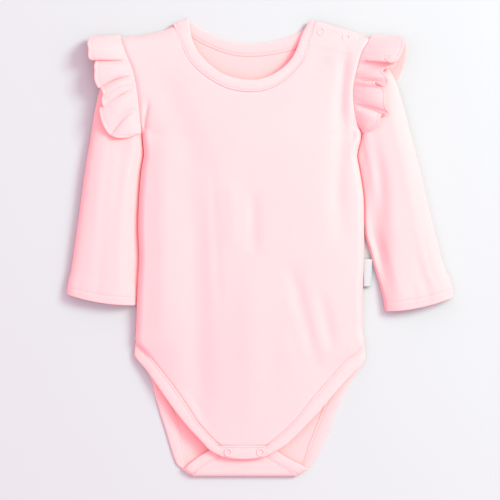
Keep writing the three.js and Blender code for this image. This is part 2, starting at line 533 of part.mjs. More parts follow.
// Place across a panel at one height. Its columns keep their share of the chest's width above
// the chest too, and only those close to the armholes follow the armholes.
function acrossPanel(share, y, left, right) {
  const chest = Math.min(y, CHEST_Y);
  const nearEdge = 8;
  return left(chest) + (right(chest) - left(chest)) * share
    + (left(y) - left(chest)) * (1 - share) ** nearEdge
    + (right(y) - right(chest)) * share ** nearEdge;
}

// The share of a panel's width at which a column ends in a given point of the top edge
function shareAt(point) {
  let low = 0;
  let high = 1;
  for (let k = 0; k < 40; k += 1) {
    const middle = (low + high) / 2;
    if (acrossPanel(middle, point.y, frontLeft, frontRight) < point.x) low = middle;
    else high = middle;
  }
  return (low + high) / 2;
}

// Front: rows run across, from the crotch band up to the shoulders and neck
function makeFront() {
  const top = panelColumns(LEFT_SHOULDER, FRONT_NECK, RIGHT_SHOULDER);
  const shares = top.map(shareAt);
  const grid = FRONT_ROWS.map((v) => top.map((end, i) => {
    const y = CROTCH_Y + (end.y - CROTCH_Y) * v;
    const x = acrossPanel(shares[i], y, frontLeft, frontRight);
    return new THREE.Vector3(x, y, frontHeight(x, y, end.y));
  }));
  return clothWall(grid, KNIT_WALL, { seamHeight: SEAM_HEIGHT });
}

// Back: rows run across, from the shoulders down to the bottom fold, round it and up the flap
function makeBack() {
  const top = panelColumns(LEFT_SHOULDER, BACK_NECK, BACK_RIGHT_SHOULDER);
  const shares = top.map(shareAt);
  const left = (y) => (y < HIP_Y ? backLegLeft(y) : frontLeft(y));
  const right = (y) => (y < HIP_Y ? backLegRight(y) : frontRight(y));
  const grid = BACK_ROWS.map((v) => top.map((end, i) => {
    const y = FOLD_RADIUS + (end.y - FOLD_RADIUS) * v;
    const x = acrossPanel(shares[i], y, left, right);
    return new THREE.Vector3(x, y, backHeight(x, y, end.y));
  }));
  const turns = 5;
  for (let k = 1; k <= turns; k += 1) {
    const angle = (Math.PI * k) / turns;
    const reach = FOLD_RADIUS * (1 - Math.sin(angle));
    const mix = k / turns;
    const edgeL = left(reach) * (1 - mix) + flapLeft(reach) * mix;
    const edgeR = right(reach) * (1 - mix) + flapRight(reach) * mix;
    grid.push(shares.map((s) => new THREE.Vector3(
      edgeL + (edgeR - edgeL) * s,
      reach,
      FOLD_RADIUS * (1 - Math.cos(angle)),
    )));
  }
  for (const y of FLAP_ROWS) {
    const width = flapRight(y) - flapLeft(y);
    grid.push(shares.map((s) => new THREE.Vector3(flapLeft(y) + width * s, y, 2 * FOLD_RADIUS)));
  }
  return clothWall(grid, KNIT_WALL, { seamHeight: SEAM_HEIGHT - SEAM_GAP });
}

// Sleeve: a flattened tube through its rings, open at the armhole and at the cuff
function makeSleeve(rings, edge, side, trough) {
  const half = 11;
  const underHeight = 3;
  const shape = (share, power) => Math.sqrt(Math.max(0, 1 - Math.abs(share) ** power));
  const grid = rings.map((ring, r) => {
    const points = [];
    for (let k = 0; k < 2 * half; k += 1) {
      const under = k >= half;
      const turn = (Math.PI * (k % half)) / half;
      const share = (under ? -1 : 1) * Math.cos(turn);
      const mix = (share + 1) / 2;
      let x = ring.outerX + (ring.innerX - ring.outerX) * mix;
      let y = ring.outerY + (ring.innerY - ring.outerY) * mix;
      if (r === 0) {
        const atTip = ease(SHOULDER_TIP_Y - 12, SHOULDER_TIP_Y, y);
        x = edge(y) + side * (SLEEVE_SEAM_GAP + (SLEEVE_TIP_GAP - SLEEVE_SEAM_GAP) * atTip);
      }
      y -= ring.bow * (1 - share * share);
      const middle = Math.max(SLEEVE_SEAM_HEIGHT, ring.lift + underHeight);
      const below = ring.lift + (middle - ring.lift) * (1 - shape(share, 8));
      const above = middle + (ring.height - middle) * shape(share, 4);
      let z = under ? below : above;
      if (trough && !under && r >= trough.first && r <= trough.last) {
        const rings = trough.last - trough.first + 1;
        const along = Math.sin((Math.PI * (r - trough.first + 0.5)) / rings);
        z -= trough.depth * along * Math.exp(-(((mix - trough.across) / trough.width) ** 2));
      }
      points.push(new THREE.Vector3(x, y, z));
    }
    return points;
  });
  return clothWall(grid, KNIT_WALL, { round: true, flip: side > 0 });
}

// Ruffle: a strip from its gathered seam on the armhole to its fluted hem
function makeRuffle(flutes, backFlutes, edge, side) {
  const seam = [];
  const hem = [];
  const lift = SEAM_GAP + RUFFLE_WALL;
  for (const flute of flutes) {
    const footZ = armholeTop(Math.max(flute.seamY, ARMPIT_Y + 11)) + lift;
    seam.push(new THREE.Vector3(edge(flute.seamY) + side * RUFFLE_FOOT, flute.seamY, footZ));
    hem.push(new THREE.Vector3(flute.hemX, flute.hemY, flute.hemZ));
  }
  const tipX = edge(SHOULDER_TIP_Y) + side * RUFFLE_BACK_FOOT;
  const tipHemX = flutes.at(-1).hemX - side * RUFFLE_TIP.hemIn;
  seam.push(new THREE.Vector3(tipX, SHOULDER_TIP_Y + RUFFLE_TIP.footY, RUFFLE_TIP.footZ));
  hem.push(new THREE.Vector3(tipHemX, SHOULDER_TIP_Y + RUFFLE_TIP.hemY, RUFFLE_TIP.hemZ));
  for (const flute of backFlutes) {
    const x = edge(flute.seamY) + side * RUFFLE_BACK_FOOT;
    seam.push(new THREE.Vector3(x, flute.seamY, 0));
    hem.push(new THREE.Vector3(x + side * flute.reach, flute.hemY, flute.hemZ));
  }
  const seamCurve = new THREE.CatmullRomCurve3(seam, false, 'centripetal');
  const hemCurve = new THREE.CatmullRomCurve3(hem, false, 'centripetal');
  const stepsPerFlute = 3;
  const count = (seam.length - 1) * stepsPerFlute;
  const grid = [];
  for (let k = 0; k <= count; k += 1) {
    const foot = seamCurve.getPoint(k / count);
    const end = hemCurve.getPoint(k / count);
    grid.push(RUFFLE_COLUMNS.map((w) => {
      const p = foot.clone().lerp(end, w);
      const onFront = 1 - ease(flutes.length - 1.5, flutes.length, k / stepsPerFlute);
      p.z = Math.max(0, p.z + onFront * RUFFLE_PUFF * Math.sin(Math.PI * w));
      return p;
    }));
  }
  return clothWall(grid, RUFFLE_WALL, { flip: side < 0 });
}

// Binding: a folded strip, rounded across, between its free and its stitched edge
function makeBinding(rows, side) {
  const points = (name) => rows.map((row) => new THREE.Vector3(...row[name]));
  const curve = (name) => new THREE.CatmullRomCurve3(points(name), false, 'centripetal');
  const free = curve('free');
  const sewn = curve('sewn');
  const faces = curve('faces');
  const count = rows.length - 1;
  const grid = [];
  for (let k = 0; k <= count; k += 1) {
    const t = k / count;
    const a = free.getPoint(t);
    const b = sewn.getPoint(t);
    const out = faces.getPoint(t).normalize();
    grid.push(BINDING_COLUMNS.map((w) => {
      const arch = 1 - (2 * w - 1) ** 4;
      return a.clone().lerp(b, w).addScaledVector(out, BINDING_PUFF * (arch - 1));
    }));
  }
  return clothWall(grid, BINDING_WALL, { flip: side > 0 });
}

// Neck binding: along the front neck from the right, over the left shoulder, along the back
function neckBindingRows() {
  const beside = (point, z, dip, faces) => {
    const sewn = new THREE.Vector3(point.x, point.y, z);
    const free = new THREE.Vector3(point.freeX, point.freeY, z - dip);
    const reach = free.clone().sub(sewn).normalize();
    return { free: free.toArray(), sewn: sewn.addScaledVector(reach, SEAM_GAP).toArray(), faces };
  };
  const front = FRONT_NECK.toReversed().map((point, i) => {
    const atTurn = i === FRONT_NECK.length - 1;
    const z = atTurn ? SEAM_HEIGHT + 2 : frontHeight(point.x, point.y, point.y) + SEAM_GAP;
    return beside(point, z, atTurn ? 0.2 : 1, atTurn ? [0, 0.4, 1] : UP);
  });
  const back = BACK_NECK.map((point, i) => {
    const atTurn = i === 0;
    return beside(point, atTurn ? 0.6 : 0, 0, atTurn ? [0, 0.4, -1] : DOWN);
  });
  return [...front, NECK_TURN, ...back];
}

// A round piece on an upright axis, from radii and heights
function turned(profile) {
  const points = profile.map(([radius, height]) => new THREE.Vector2(radius, height));
  return new THREE.LatheGeometry(points, SNAP_SIDES).rotateX(Math.PI / 2);
}

// Snap ring: a flat rounded ring on the outside of the cloth
function makeSnapRing() {
  return turned([
    [SNAP_HOLE_RADIUS, 0],
    [SNAP_RING_RADIUS, 0],
    [SNAP_RING_RADIUS, 0.45 * SNAP_RING_HEIGHT],
    [SNAP_RING_RADIUS - 0.5, 0.9 * SNAP_RING_HEIGHT],
    [(SNAP_RING_RADIUS + SNAP_HOLE_RADIUS) / 2, SNAP_RING_HEIGHT],
    [SNAP_HOLE_RADIUS + 0.4, 0.8 * SNAP_RING_HEIGHT],
    [SNAP_HOLE_RADIUS, 0],
  ]);
}

// Snap stud: the socket and stud pressed together between the two layers
function makeSnapStud(thickness) {
  return turned([
    [0, 0],
    [SNAP_STUD_RADIUS - SNAP_EDGE, 0],
    [SNAP_STUD_RADIUS, SNAP_EDGE],
    [SNAP_STUD_RADIUS, thickness - SNAP_EDGE],
    [SNAP_STUD_RADIUS - SNAP_EDGE, thickness],
    [0, thickness],
  ]);
}

// Label: a bare folded ribbon that leaves the side seam and droops to the surface
function makeLabel() {
  const reach = [0, 0.25, 0.5, 0.75, 1];
  const rows = [LABEL.bottom, (LABEL.bottom + LABEL.top) / 2, LABEL.top];
  const grid = rows.map((y) => reach.map((w) => new THREE.Vector3(
    LABEL.left + (LABEL.right - LABEL.left) * w,
    y,
    LABEL.height - LABEL_DROOP * w * w,
  )));
  return clothWall(grid, LABEL_WALL);
}

const KNIT = new THREE.MeshStandardMaterial({ color: 0xfdd9de, roughness: 0.95, metalness: 0 });
const BINDING = new THREE.MeshStandardMaterial({ color: 0xfbd3d9, roughness: 0.95, metalness: 0 });
const RUFFLE = new THREE.MeshStandardMaterial({ color: 0xfcd6db, roughness: 0.95, metalness: 0 });
const SNAP = new THREE.MeshStandardMaterial({ color: 0xf3c6cd, roughness: 0.4, metalness: 0 });
const RIBBON = new THREE.MeshStandardMaterial({ color: 0xf4f2f6, roughness: 0.6, metalness: 0 });

const garment = new THREE.Group();

function addPiece(name, geometry, material) {
  const mesh = new THREE.Mesh(geometry, material);
  mesh.name = name;
  garment.add(mesh);
  return mesh;
}

addPiece('front_panel', makeFront(), KNIT);
addPiece('back_panel', makeBack(), KNIT);
addPiece('sleeve_left', makeSleeve(SLEEVE_LEFT_RINGS, frontLeft, -1, null), KNIT);
addPiece('sleeve_right', makeSleeve(SLEEVE_RIGHT_RINGS, frontRight, 1, SLEEVE_RIGHT_TROUGH), KNIT);
const leftRuffle = makeRuffle(RUFFLE_LEFT_FLUTES, RUFFLE_LEFT_BACK_FLUTES, frontLeft, -1);
const rightRuffle = makeRuffle(RUFFLE_RIGHT_FLUTES, RUFFLE_RIGHT_BACK_FLUTES, frontRight, 1);
addPiece('ruffle_left', leftRuffle, RUFFLE);
addPiece('ruffle_right', rightRuffle, RUFFLE);
addPiece('neck_binding', makeBinding(neckBindingRows(), 1), BINDING);
addPiece('leg_binding_left', makeBinding(LEG_LEFT_ROWS, -1), BINDING);
addPiece('leg_binding_right', makeBinding(LEG_RIGHT_ROWS, 1), BINDING);
addPiece('crotch_band', makeBinding(CROTCH_BAND_ROWS, 1), BINDING);
addPiece('side_label', makeLabel(), RIBBON);

// Seats a snap on the outside of the cloth, with its stud in the space between the layers.
// The cloth under it lies between a lowest and a highest level.
function addSnap(name, x, y, [lowest, highest], layerBelow, wall) {
  const ring = addPiece(`${name}_ring`, makeSnapRing(), SNAP);
  ring.position.set(x, y, highest + SEAM_GAP);
  const room = lowest - wall - layerBelow - 2 * SEAM_GAP;
  const stud = addPiece(`${name}_stud`, makeSnapStud(room), SNAP);
  stud.position.set(x, y, layerBelow + SEAM_GAP);
}

for (const snap of SHOULDER_SNAPS) {
  const levels = [0, 1, 2, 3, 4, 5, 6, 7].map((k) => frontHeight(
    snap.x + SNAP_STUD_RADIUS * Math.cos((Math.PI * k) / 4),
    snap.y + SNAP_STUD_RADIUS * Math.sin((Math.PI * k) / 4),
    snap.edgeY,
  ));
  const span = [Math.min(...levels), Math.max(...levels)];
  addSnap(`snap_shoulder_${snap.name}`, snap.x, snap.y, span, KNIT_WALL, KNIT_WALL);
}
for (const snap of CROTCH_SNAPS) {
  const span = [CROTCH_BAND_UNDER, CROTCH_BAND_TOP];
  addSnap(`snap_crotch_${snap.name}`, snap.x, snap.y, span, 2 * FOLD_RADIUS, 0);
}

// The origin is the middle of the underside of the whole garment
const extent = new THREE.Box3().setFromObject(garment);
garment.position.set(-(extent.min.x + extent.max.x) / 2, -(extent.min.y + extent.max.y) / 2, -extent.min.z);

export default garment;
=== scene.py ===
# A long-sleeved baby bodysuit in pale pink cotton knit, laid flat on its back.
import math

import bmesh
import bpy
from mathutils import Matrix, Vector, noise


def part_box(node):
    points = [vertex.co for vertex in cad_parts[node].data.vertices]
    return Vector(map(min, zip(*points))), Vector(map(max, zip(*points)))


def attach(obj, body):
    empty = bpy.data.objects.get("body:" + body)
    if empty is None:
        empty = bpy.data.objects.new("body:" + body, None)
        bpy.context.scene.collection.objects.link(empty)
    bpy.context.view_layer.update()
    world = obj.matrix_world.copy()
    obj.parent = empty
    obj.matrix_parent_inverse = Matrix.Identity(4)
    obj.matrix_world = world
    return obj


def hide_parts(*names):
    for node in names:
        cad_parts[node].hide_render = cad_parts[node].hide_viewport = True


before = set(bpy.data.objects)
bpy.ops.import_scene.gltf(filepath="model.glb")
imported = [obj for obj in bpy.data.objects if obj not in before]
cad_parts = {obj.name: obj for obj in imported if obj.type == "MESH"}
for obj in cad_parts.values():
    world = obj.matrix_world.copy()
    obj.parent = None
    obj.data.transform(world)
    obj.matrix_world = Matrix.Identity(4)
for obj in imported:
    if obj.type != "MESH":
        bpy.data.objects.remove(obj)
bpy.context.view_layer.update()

# Studio: a pale floor, a big soft light from the upper right, and a camera straight above,
# as the garment was photographed. Lengths in this file are millimetres on the garment,
# measured from its centre line and from its bottom fold, until laid_at() places them.
MM = 0.001
CROTCH_Y = 28
PANEL_MIDDLE_X = -4
PICTURE_SPAN = 0.450
PICTURE_MIDDLE = (0, 204.3)
CLOTH_LEVEL = 0.010
CAMERA_HEIGHT = 1.7
SENSOR_WIDTH = 36

panel_low, panel_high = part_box("front_panel")
garment_x = (panel_low[0] + panel_high[0]) / 2 - PANEL_MIDDLE_X * MM
garment_y = panel_low[1] - CROTCH_Y * MM


def laid_at(x, y, z):
    """A garment point, in millimetres, as a place in the frame."""
    return Vector((garment_x + x * MM, garment_y + y * MM, z * MM))


camera_data = bpy.data.cameras.new("camera")
camera_data.sensor_width = SENSOR_WIDTH
camera_data.lens = SENSOR_WIDTH * (CAMERA_HEIGHT - CLOTH_LEVEL) / PICTURE_SPAN
camera = bpy.data.objects.new("camera", camera_data)
camera.location = laid_at(*PICTURE_MIDDLE, CAMERA_HEIGHT / MM)
bpy.context.collection.objects.link(camera)
bpy.context.scene.camera = camera
bpy.context.scene.view_settings.view_transform = "Standard"

FLOOR_COLOUR = (0.465, 0.525, 0.55, 1)
FLOOR_SIZE = 6
floor_bm = bmesh.new()
bmesh.ops.create_grid(floor_bm, x_segments=1, y_segments=1, size=FLOOR_SIZE / 2)
floor_mesh = bpy.data.meshes.new("floor")
floor_bm.to_mesh(floor_mesh)
floor_bm.free()
floor = bpy.data.objects.new("floor", floor_mesh)
bpy.context.collection.objects.link(floor)
floor_paper = bpy.data.materials.new("floor_paper")
floor_paper.use_nodes = True
floor_shader = floor_paper.node_tree.nodes["Principled BSDF"]
floor_shader.inputs["Base Color"].default_value = FLOOR_COLOUR
floor_shader.inputs["Roughness"].default_value = 0.9
floor_mesh.materials.append(floor_paper)

# Each soft light: place, side, power and colour. Both point at the garment's middle
SOFT_LIGHTS = [
    ("key_light", (1.65, 0.95, 1.75), 0.9, 65, (0.71, 1.0, 0.81)),
    ("top_light", (0.2, 0.2, 2.2), 2.6, 27, (0.80, 1.0, 0.85)),
]
for light_name, place, side, power, colour in SOFT_LIGHTS:
    light_data = bpy.data.lights.new(light_name, "AREA")
    light_data.size = side
    light_data.energy = power
    light_data.color = colour
    light = bpy.data.objects.new(light_name, light_data)
    light.location = place
    light.rotation_euler = (Vector((0, 0, 0)) - Vector(place)).to_track_quat("-Z", "Y").to_euler()
    bpy.context.collection.objects.link(light)
WORLD_STRENGTH = 1.0
WORLD_TINT = (1.15, 0.64, 0.82, 1)
world = bpy.data.worlds.new("studio")
world.use_nodes = True
world.node_tree.nodes["Background"].inputs["Color"].default_value = WORLD_TINT
world.node_tree.nodes["Background"].inputs["Strength"].default_value = WORLD_STRENGTH
bpy.context.scene.world = world

# Front panel: one piece of pale pink cotton interlock, from the shoulders to the crotch
# band. It rolls over softly at the side seams and is sewn to the sleeves and bindings.
KNIT_PINK = (0.99, 0.480, 0.498, 1)
KNIT_WALL = 1.4
WALE = 0.75
COURSE = 0.95
SEAM_HEIGHT = 5
SIDE_ROLL = 7
SHOULDER_ROLL = 10
ARMPIT_Y = 309
CHEST_Y = 340
SHOULDER_TIP_Y = 396
HIP_Y = 121
SLEEVE_HEIGHT = 13

# place up the garment, left edge, right edge
FRONT_OUTLINE = [
    (16, -23, 11), (28, -26.5, 14.5), (33, -32.5, 21), (39, -38.5, 28.5), (50, -48, 40),
    (68, -60, 54.5), (86, -73, 70), (103, -86.5, 86), (112, -95, 98), (121, -103, 103),
    (132, -103, 101.5), (171, -101.5, 102), (197, -100, 103), (225, -101, 103),
    (253, -100, 102.5), (277, -98, 99), (290, -96, 97), (309, -97.5, 101), (318, -98, 96.5),
    (333, -99.5, 93.5), (350, -101.5, 93), (366, -105, 96), (382, -111.5, 100.5),
    (396, -116, 108), (415, -117, 109),
]
# place up the garment, height of the cloth along the middle, height beside the edges
FRONT_HEIGHTS = [
    (16, 12.6, 12.5), (40, 12.8, 12), (70, 13.4, 11), (100, 15, 9.5), (121, 16.5, 10),
    (160, 18.5, 13), (230, 19.5, 14.5), (300, 18.5, 13.5), (347, 14, 13), (376, 10.6, 10.6),
    (396, 7.8, 7.8), (415, 6.9, 6.9),
]
LEFT_SHOULDER = [(-116, 396), (-96, 398), (-79, 402), (-68, 407)]
RIGHT_SHOULDER = [(59, 411), (71, 408), (88, 403), (108, 396)]
NECK_CORNER_X = -68
# stitched edge x, y, free edge x, y
FRONT_NECK = [
    (-68, 407, -54.8, 410), (-64.5, 397, -53.2, 398.5), (-60, 386, -50.2, 389.5),
    (-54, 375, -45, 380.5), (-44, 364.5, -37, 372), (-33, 356.5, -28, 365),
    (-21, 350.5, -18.3, 360.5), (-8, 347.5, -8, 358), (2, 347, 2, 357.3),
    (12, 348.2, 10.5, 358.5), (24.3, 353.2, 19.8, 362), (37, 363.3, 29.5, 368.5),
    (47, 375, 37.5, 377), (52, 386, 42.5, 386.8), (54.8, 397, 46.3, 398), (59, 411, 53, 410.6),
]
# from x, y, to x, y, half width, depth (a ridge is negative)
FRONT_FOLDS = [
    (-50, 278, -45, 36, 12, 2.3), (-34, 278, -27, 150, 4, 0.6),
    (-77, 310, -79, 120, 10, -1.4), (-17, 270, -16, 200, 8, -0.8), (3, 256, 3, 200, 5.5, 1.4),
    (2, 190, 0, 50, 14, -1.4), (36, 192, 60, 98, 6.5, 1.7), (62, 168, 75, 112, 6, 1.4),
    (85, 342, 77, 238, 7, 2.0), (80, 264, 82, 210, 8, 1.1), (-84, 372, -42, 264, 13, 1.4),
    (54, 368, 72, 376, 6, 0.7), (34, 140, 48, 96, 6, 0.5),
]
# small folds that run right up to a seam, beside the armholes
SEAM_FOLDS = [
    (-91.5, 338, -98, 306, 2.4, 2.2), (86, 384, 79, 318, 5, 2.4), (95, 330, 92, 300, 3, 0.8),
]
UNEVEN_NEAR = 0.05
UNEVEN_FAR = 0.16


def ease(low, high, value):
    t = min(1, max(0, (value - low) / (high - low)))
    return t * t * (3 - 2 * t)


def curve_of(table, key, column):
    """A column of a table as a smooth function of another column."""

    def value(at):
        i = 0
        while i < len(table) - 2 and at > table[i + 1][key]:
            i += 1
        a, b = table[i], table[i + 1]
        before, after = table[max(0, i - 1)], table[min(len(table) - 1, i + 2)]
        span = b[key] - a[key]
        t = min(1, max(0, (at - a[key]) / span))
        slope_a = (b[column] - before[column]) / (b[key] - before[key]) * span
        slope_b = (after[column] - a[column]) / (after[key] - a[key]) * span
        start = (2 * t**3 - 3 * t**2 + 1) * a[column] + (t**3 - 2 * t**2 + t) * slope_a
        return start + (3 * t**2 - 2 * t**3) * b[column] + (t**3 - t**2) * slope_b

    return value


def edge_roll(distance, radius):
    """Quarter-round rise beside a rolled edge: 0 on the edge, 1 past the roll."""
    t = min(1, max(0, distance / radius))
    return math.sqrt(1 - (1 - t) ** 2)


def fold_depth(folds, x, y):
    """How deep the folds of a table press into the cloth at one point."""
    depth = 0
    for x0, y0, x1, y1, width, deep in folds:
        dx, dy = x1 - x0, y1 - y0
        length = math.hypot(dx, dy)
        along = ((x - x0) * dx + (y - y0) * dy) / length**2
        aside = ((x - x0) * dy - (y - y0) * dx) / length
        if -0.12 < along < 1.12 and abs(aside) < 3 * width:
            fade = ease(-0.12, 0.3, along) * (1 - ease(0.7, 1.12, along))
            depth += deep * fade * math.exp(-((aside / width) ** 2))
    return depth


def line_through(points):
    """A smooth line through points of any dimension, as a function of a share from 0 to 1."""
    count = len(points) - 1

    def at(share):
        place = min(max(share, 0), 1) * count
        i = min(int(place), count - 1)
        t = place - i
        p1, p2 = points[i], points[i + 1]
        p0 = points[i - 1] if i > 0 else [2 * a - b for a, b in zip(p1, p2)]
        p3 = points[i + 2] if i + 2 <= count else [2 * b - a for a, b in zip(p1, p2)]
        line = []
        for a, b, c, d in zip(p0, p1, p2, p3):
            bend = (2 * a - 5 * b + 4 * c - d) * t**2
            twist = (3 * b - a - 3 * c + d) * t**3
            line.append(0.5 * (2 * b + (c - a) * t + bend + twist))
        return line

    return at


front_left = curve_of(FRONT_OUTLINE, 0, 1)
front_right = curve_of(FRONT_OUTLINE, 0, 2)
middle_height = curve_of(FRONT_HEIGHTS, 0, 1)
edge_height = curve_of(FRONT_HEIGHTS, 0, 2)


def armhole_top(y):
    """Height of the armhole seam's upper side, from the armpit to the shoulder tip."""
    share = 2 * (y - ARMPIT_Y) / (SHOULDER_TIP_Y - ARMPIT_Y) - 1
    return SEAM_HEIGHT + (SLEEVE_HEIGHT - SEAM_HEIGHT) * math.sqrt(max(0, 1 - abs(share) ** 4))


def front_height(x, y, top_y):
    """Height of the front's outside above the floor."""
    left, right = front_left(y), front_right(y)
    share = 2 * (x - left) / (right - left) - 1
    beside = min(x - left, right - x)
    in_armhole = ease(ARMPIT_Y, ARMPIT_Y + 6, y)
    inward = ease(ARMPIT_Y - 20, ARMPIT_Y + 34, y)
    chest = inward + (in_armhole - inward) * math.exp(-((beside / 7) ** 2))
    rim = edge_height(y) * (1 - chest) + armhole_top(min(y, SHOULDER_TIP_Y)) * chest
    z = rim + (middle_height(y) - rim) * (1 - abs(share) ** 3)
    z -= fold_depth(FRONT_FOLDS, x, y) * ease(1, 12, beside)
    z -= fold_depth(SEAM_FOLDS, x, y) * ease(0.5, 3.5, beside)
    z += UNEVEN_FAR * noise.noise(Vector((x / 24, y / 40, 0)))
    z += UNEVEN_NEAR * noise.noise(Vector((x / 7, y / 11, 5)))
    seamed = ease(HIP_Y - 22, HIP_Y, y) * (1 - in_armhole)
    z -= seamed * (z - SEAM_HEIGHT) * (1 - edge_roll(beside, SIDE_ROLL))
    on_left_shoulder = 1 - ease(NECK_CORNER_X - 1, NECK_CORNER_X + 5, x)
    z -= on_left_shoulder * max(0, z - SEAM_HEIGHT) * (1 - edge_roll(top_y - y, SHOULDER_ROLL))
    return z


def across_panel(share, y, left, right):
    """Place across a panel: only the columns close to the armholes follow the armholes."""
    chest = min(y, CHEST_Y)
    near_edge = 8
    return (
        left(chest) + (right(chest) - left(chest)) * share
        + (left(y) - left(chest)) * (1 - share) ** near_edge
        + (right(y) - right(chest)) * share**near_edge
    )


def share_at(x, y):
    """The share of the panel's width at which a point of its top edge lies."""
    low, high = 0, 1
    for _ in range(30):
        middle = (low + high) / 2
        if across_panel(middle, y, front_left, front_right) < x:
            low = middle
        else:
            high = middle
    return (low + high) / 2


def panel_top(left_shoulder, neck, right_shoulder):
    """The top edge of a panel: its height as a function of the share across."""
    edge = []
    for part, steps in ((left_shoulder, 40), (neck, 90), (right_shoulder, 40)):
        line = line_through([p[:2] for p in part])
        edge += [line(k / steps) for k in range(steps + 1)]
    table = sorted((share_at(x, y), y) for x, y in edge)
    shares = [row[0] for row in table]

    def height(share):
        low, high = 0, len(table) - 1
        while high - low > 1:
            middle = (low + high) // 2
            if shares[middle] <= share:
                low = middle
            else:
                high = middle
        a, b = table[low], table[high]
        t = 0 if b[0] == a[0] else (share - a[0]) / (b[0] - a[0])
        return a[1] + (b[1] - a[1]) * min(1, max(0, t))

    return height


def knit_group():
    """Interlock knit: fine upright wales of small stitches, with a soft uneven loft. Its colour holds painted
    shade, darker where the stitches lie low.
    """
    tree = bpy.data.node_groups.new("interlock_knit", "ShaderNodeTree")
    tree.interface.new_socket("Cloth", in_out="INPUT", socket_type="NodeSocketVector")
    tree.interface.new_socket("Base", in_out="INPUT", socket_type="NodeSocketColor")
    tree.interface.new_socket("Colour", in_out="OUTPUT", socket_type="NodeSocketColor")
    tree.interface.new_socket("Height", in_out="OUTPUT", socket_type="NodeSocketFloat")
    nodes, links = tree.nodes, tree.links
    inside = nodes.new("NodeGroupInput")
    outside = nodes.new("NodeGroupOutput")

    def maths(operation, a, b=None):
        node = nodes.new("ShaderNodeMath")
        node.operation = operation
        for socket, value in zip(node.inputs, (a, b)):
            if value is None:
                continue
            if isinstance(value, (int, float)):
                socket.default_value = value
            else:
                links.new(value, socket)
        return node.outputs[0]

    split = nodes.new("ShaderNodeSeparateXYZ")
    links.new(inside.outputs["Cloth"], split.inputs[0])
    across = maths("DIVIDE", split.outputs["X"], WALE * MM)
    along = maths("DIVIDE", split.outputs["Y"], COURSE * MM)
    lean = maths("ABSOLUTE", maths("SUBTRACT", maths("FRACT", across), 0.5))
    wale = maths("SINE", maths("MULTIPLY", maths("FRACT", across), math.pi))
    stitch = maths("SINE", maths("MULTIPLY", maths("ADD", along, lean), 2 * math.pi))
    loft = nodes.new("ShaderNodeTexNoise")
    loft.inputs["Scale"].default_value = 420
    loft.inputs["Detail"].default_value = 3
    links.new(inside.outputs["Cloth"], loft.inputs["Vector"])
    cloud = nodes.new("ShaderNodeTexNoise")
    cloud.inputs["Scale"].default_value = 26
    cloud.inputs["Detail"].default_value = 4
    links.new(inside.outputs["Cloth"], cloud.inputs["Vector"])
    loops = maths("ADD", maths("MULTIPLY", wale, 0.6), maths("MULTIPLY", stitch, 0.22))
    height = maths("ADD", loops, maths("MULTIPLY", loft.outputs["Fac"], 0.5))
    links.new(height, outside.inputs["Height"])
    # Painted shade: the colour is darkened where the stitch height is low, between the wales and loops, and
    # lightened on their tops. The cloudy noise added to it is the yarn's own uneven tone.
    mix = nodes.new("ShaderNodeMix")
    mix.data_type = "RGBA"
    mix.blend_type = "MULTIPLY"
    mix.inputs["Factor"].default_value = 1
    tint = nodes.new("ShaderNodeMapRange")
    tint.inputs["From Min"].default_value = 0.1
    tint.inputs["From Max"].default_value = 1.9
    tint.inputs["To Min"].default_value = 0.95
    tint.inputs["To Max"].default_value = 1.03
    links.new(maths("ADD", maths("MULTIPLY", loops, 0.7), cloud.outputs["Fac"]), tint.inputs["Value"])
    links.new(inside.outputs["Base"], mix.inputs["A"])
    links.new(tint.outputs["Result"], mix.inputs["B"])
    links.new(mix.outputs["Result"], outside.inputs["Colour"])
    return tree


interlock = knit_group()


def knit_material(name, colour):
    """Soft matt cotton knit with a little fuzz, its wales along the cloth's own map."""
    material = bpy.data.materials.new(name)
    material.use_nodes = True
    nodes, links = material.node_tree.nodes, material.node_tree.links
    shader = nodes["Principled BSDF"]
    cloth = nodes.new("ShaderNodeUVMap")
    cloth.uv_map = "cloth"
    knit = nodes.new("ShaderNodeGroup")
    knit.node_tree = interlock
    knit.inputs["Base"].default_value = colour
    bump = nodes.new("ShaderNodeBump")
    bump.inputs["Strength"].default_value = 0.35
    bump.inputs["Distance"].default_value = 0.00022
    links.new(cloth.outputs["UV"], knit.inputs["Cloth"])
    links.new(knit.outputs["Colour"], shader.inputs["Base Color"])
    links.new(knit.outputs["Height"], bump.inputs["Height"])
    links.new(bump.outputs["Normal"], shader.inputs["Normal"])
    shader.inputs["Roughness"].default_value = 0.92
    shader.inputs["Subsurface Weight"].default_value = 0.12
    shader.inputs["Subsurface Radius"].default_value = (1.0, 0.45, 0.45)
    shader.inputs["Subsurface Scale"].default_value = 0.003
    shader.inputs["Specular IOR Level"].default_value = 0.15
    shader.inputs["Sheen Weight"].default_value = 0.25
    shader.inputs["Sheen Roughness"].default_value = 0.6
    shader.inputs["Sheen Tint"].default_value = (1.0, 0.86, 0.88, 1)
    return material


knit = knit_material("pink_interlock", KNIT_PINK)


def add_wall(piece, thickness):
    """The cloth's thickness, behind the outside face."""
    wall = piece.modifiers.new("wall", "SOLIDIFY")
    wall.thickness = thickness * MM
    wall.offset = -1


def turn_faces(piece, operation):
    """Turn the faces of a piece with one operation, so that they point outwards."""
    bm = bmesh.new()
    bm.from_mesh(piece.data)
    operation(bm, faces=bm.faces)
    bm.to_mesh(piece.data)
    bm.free()


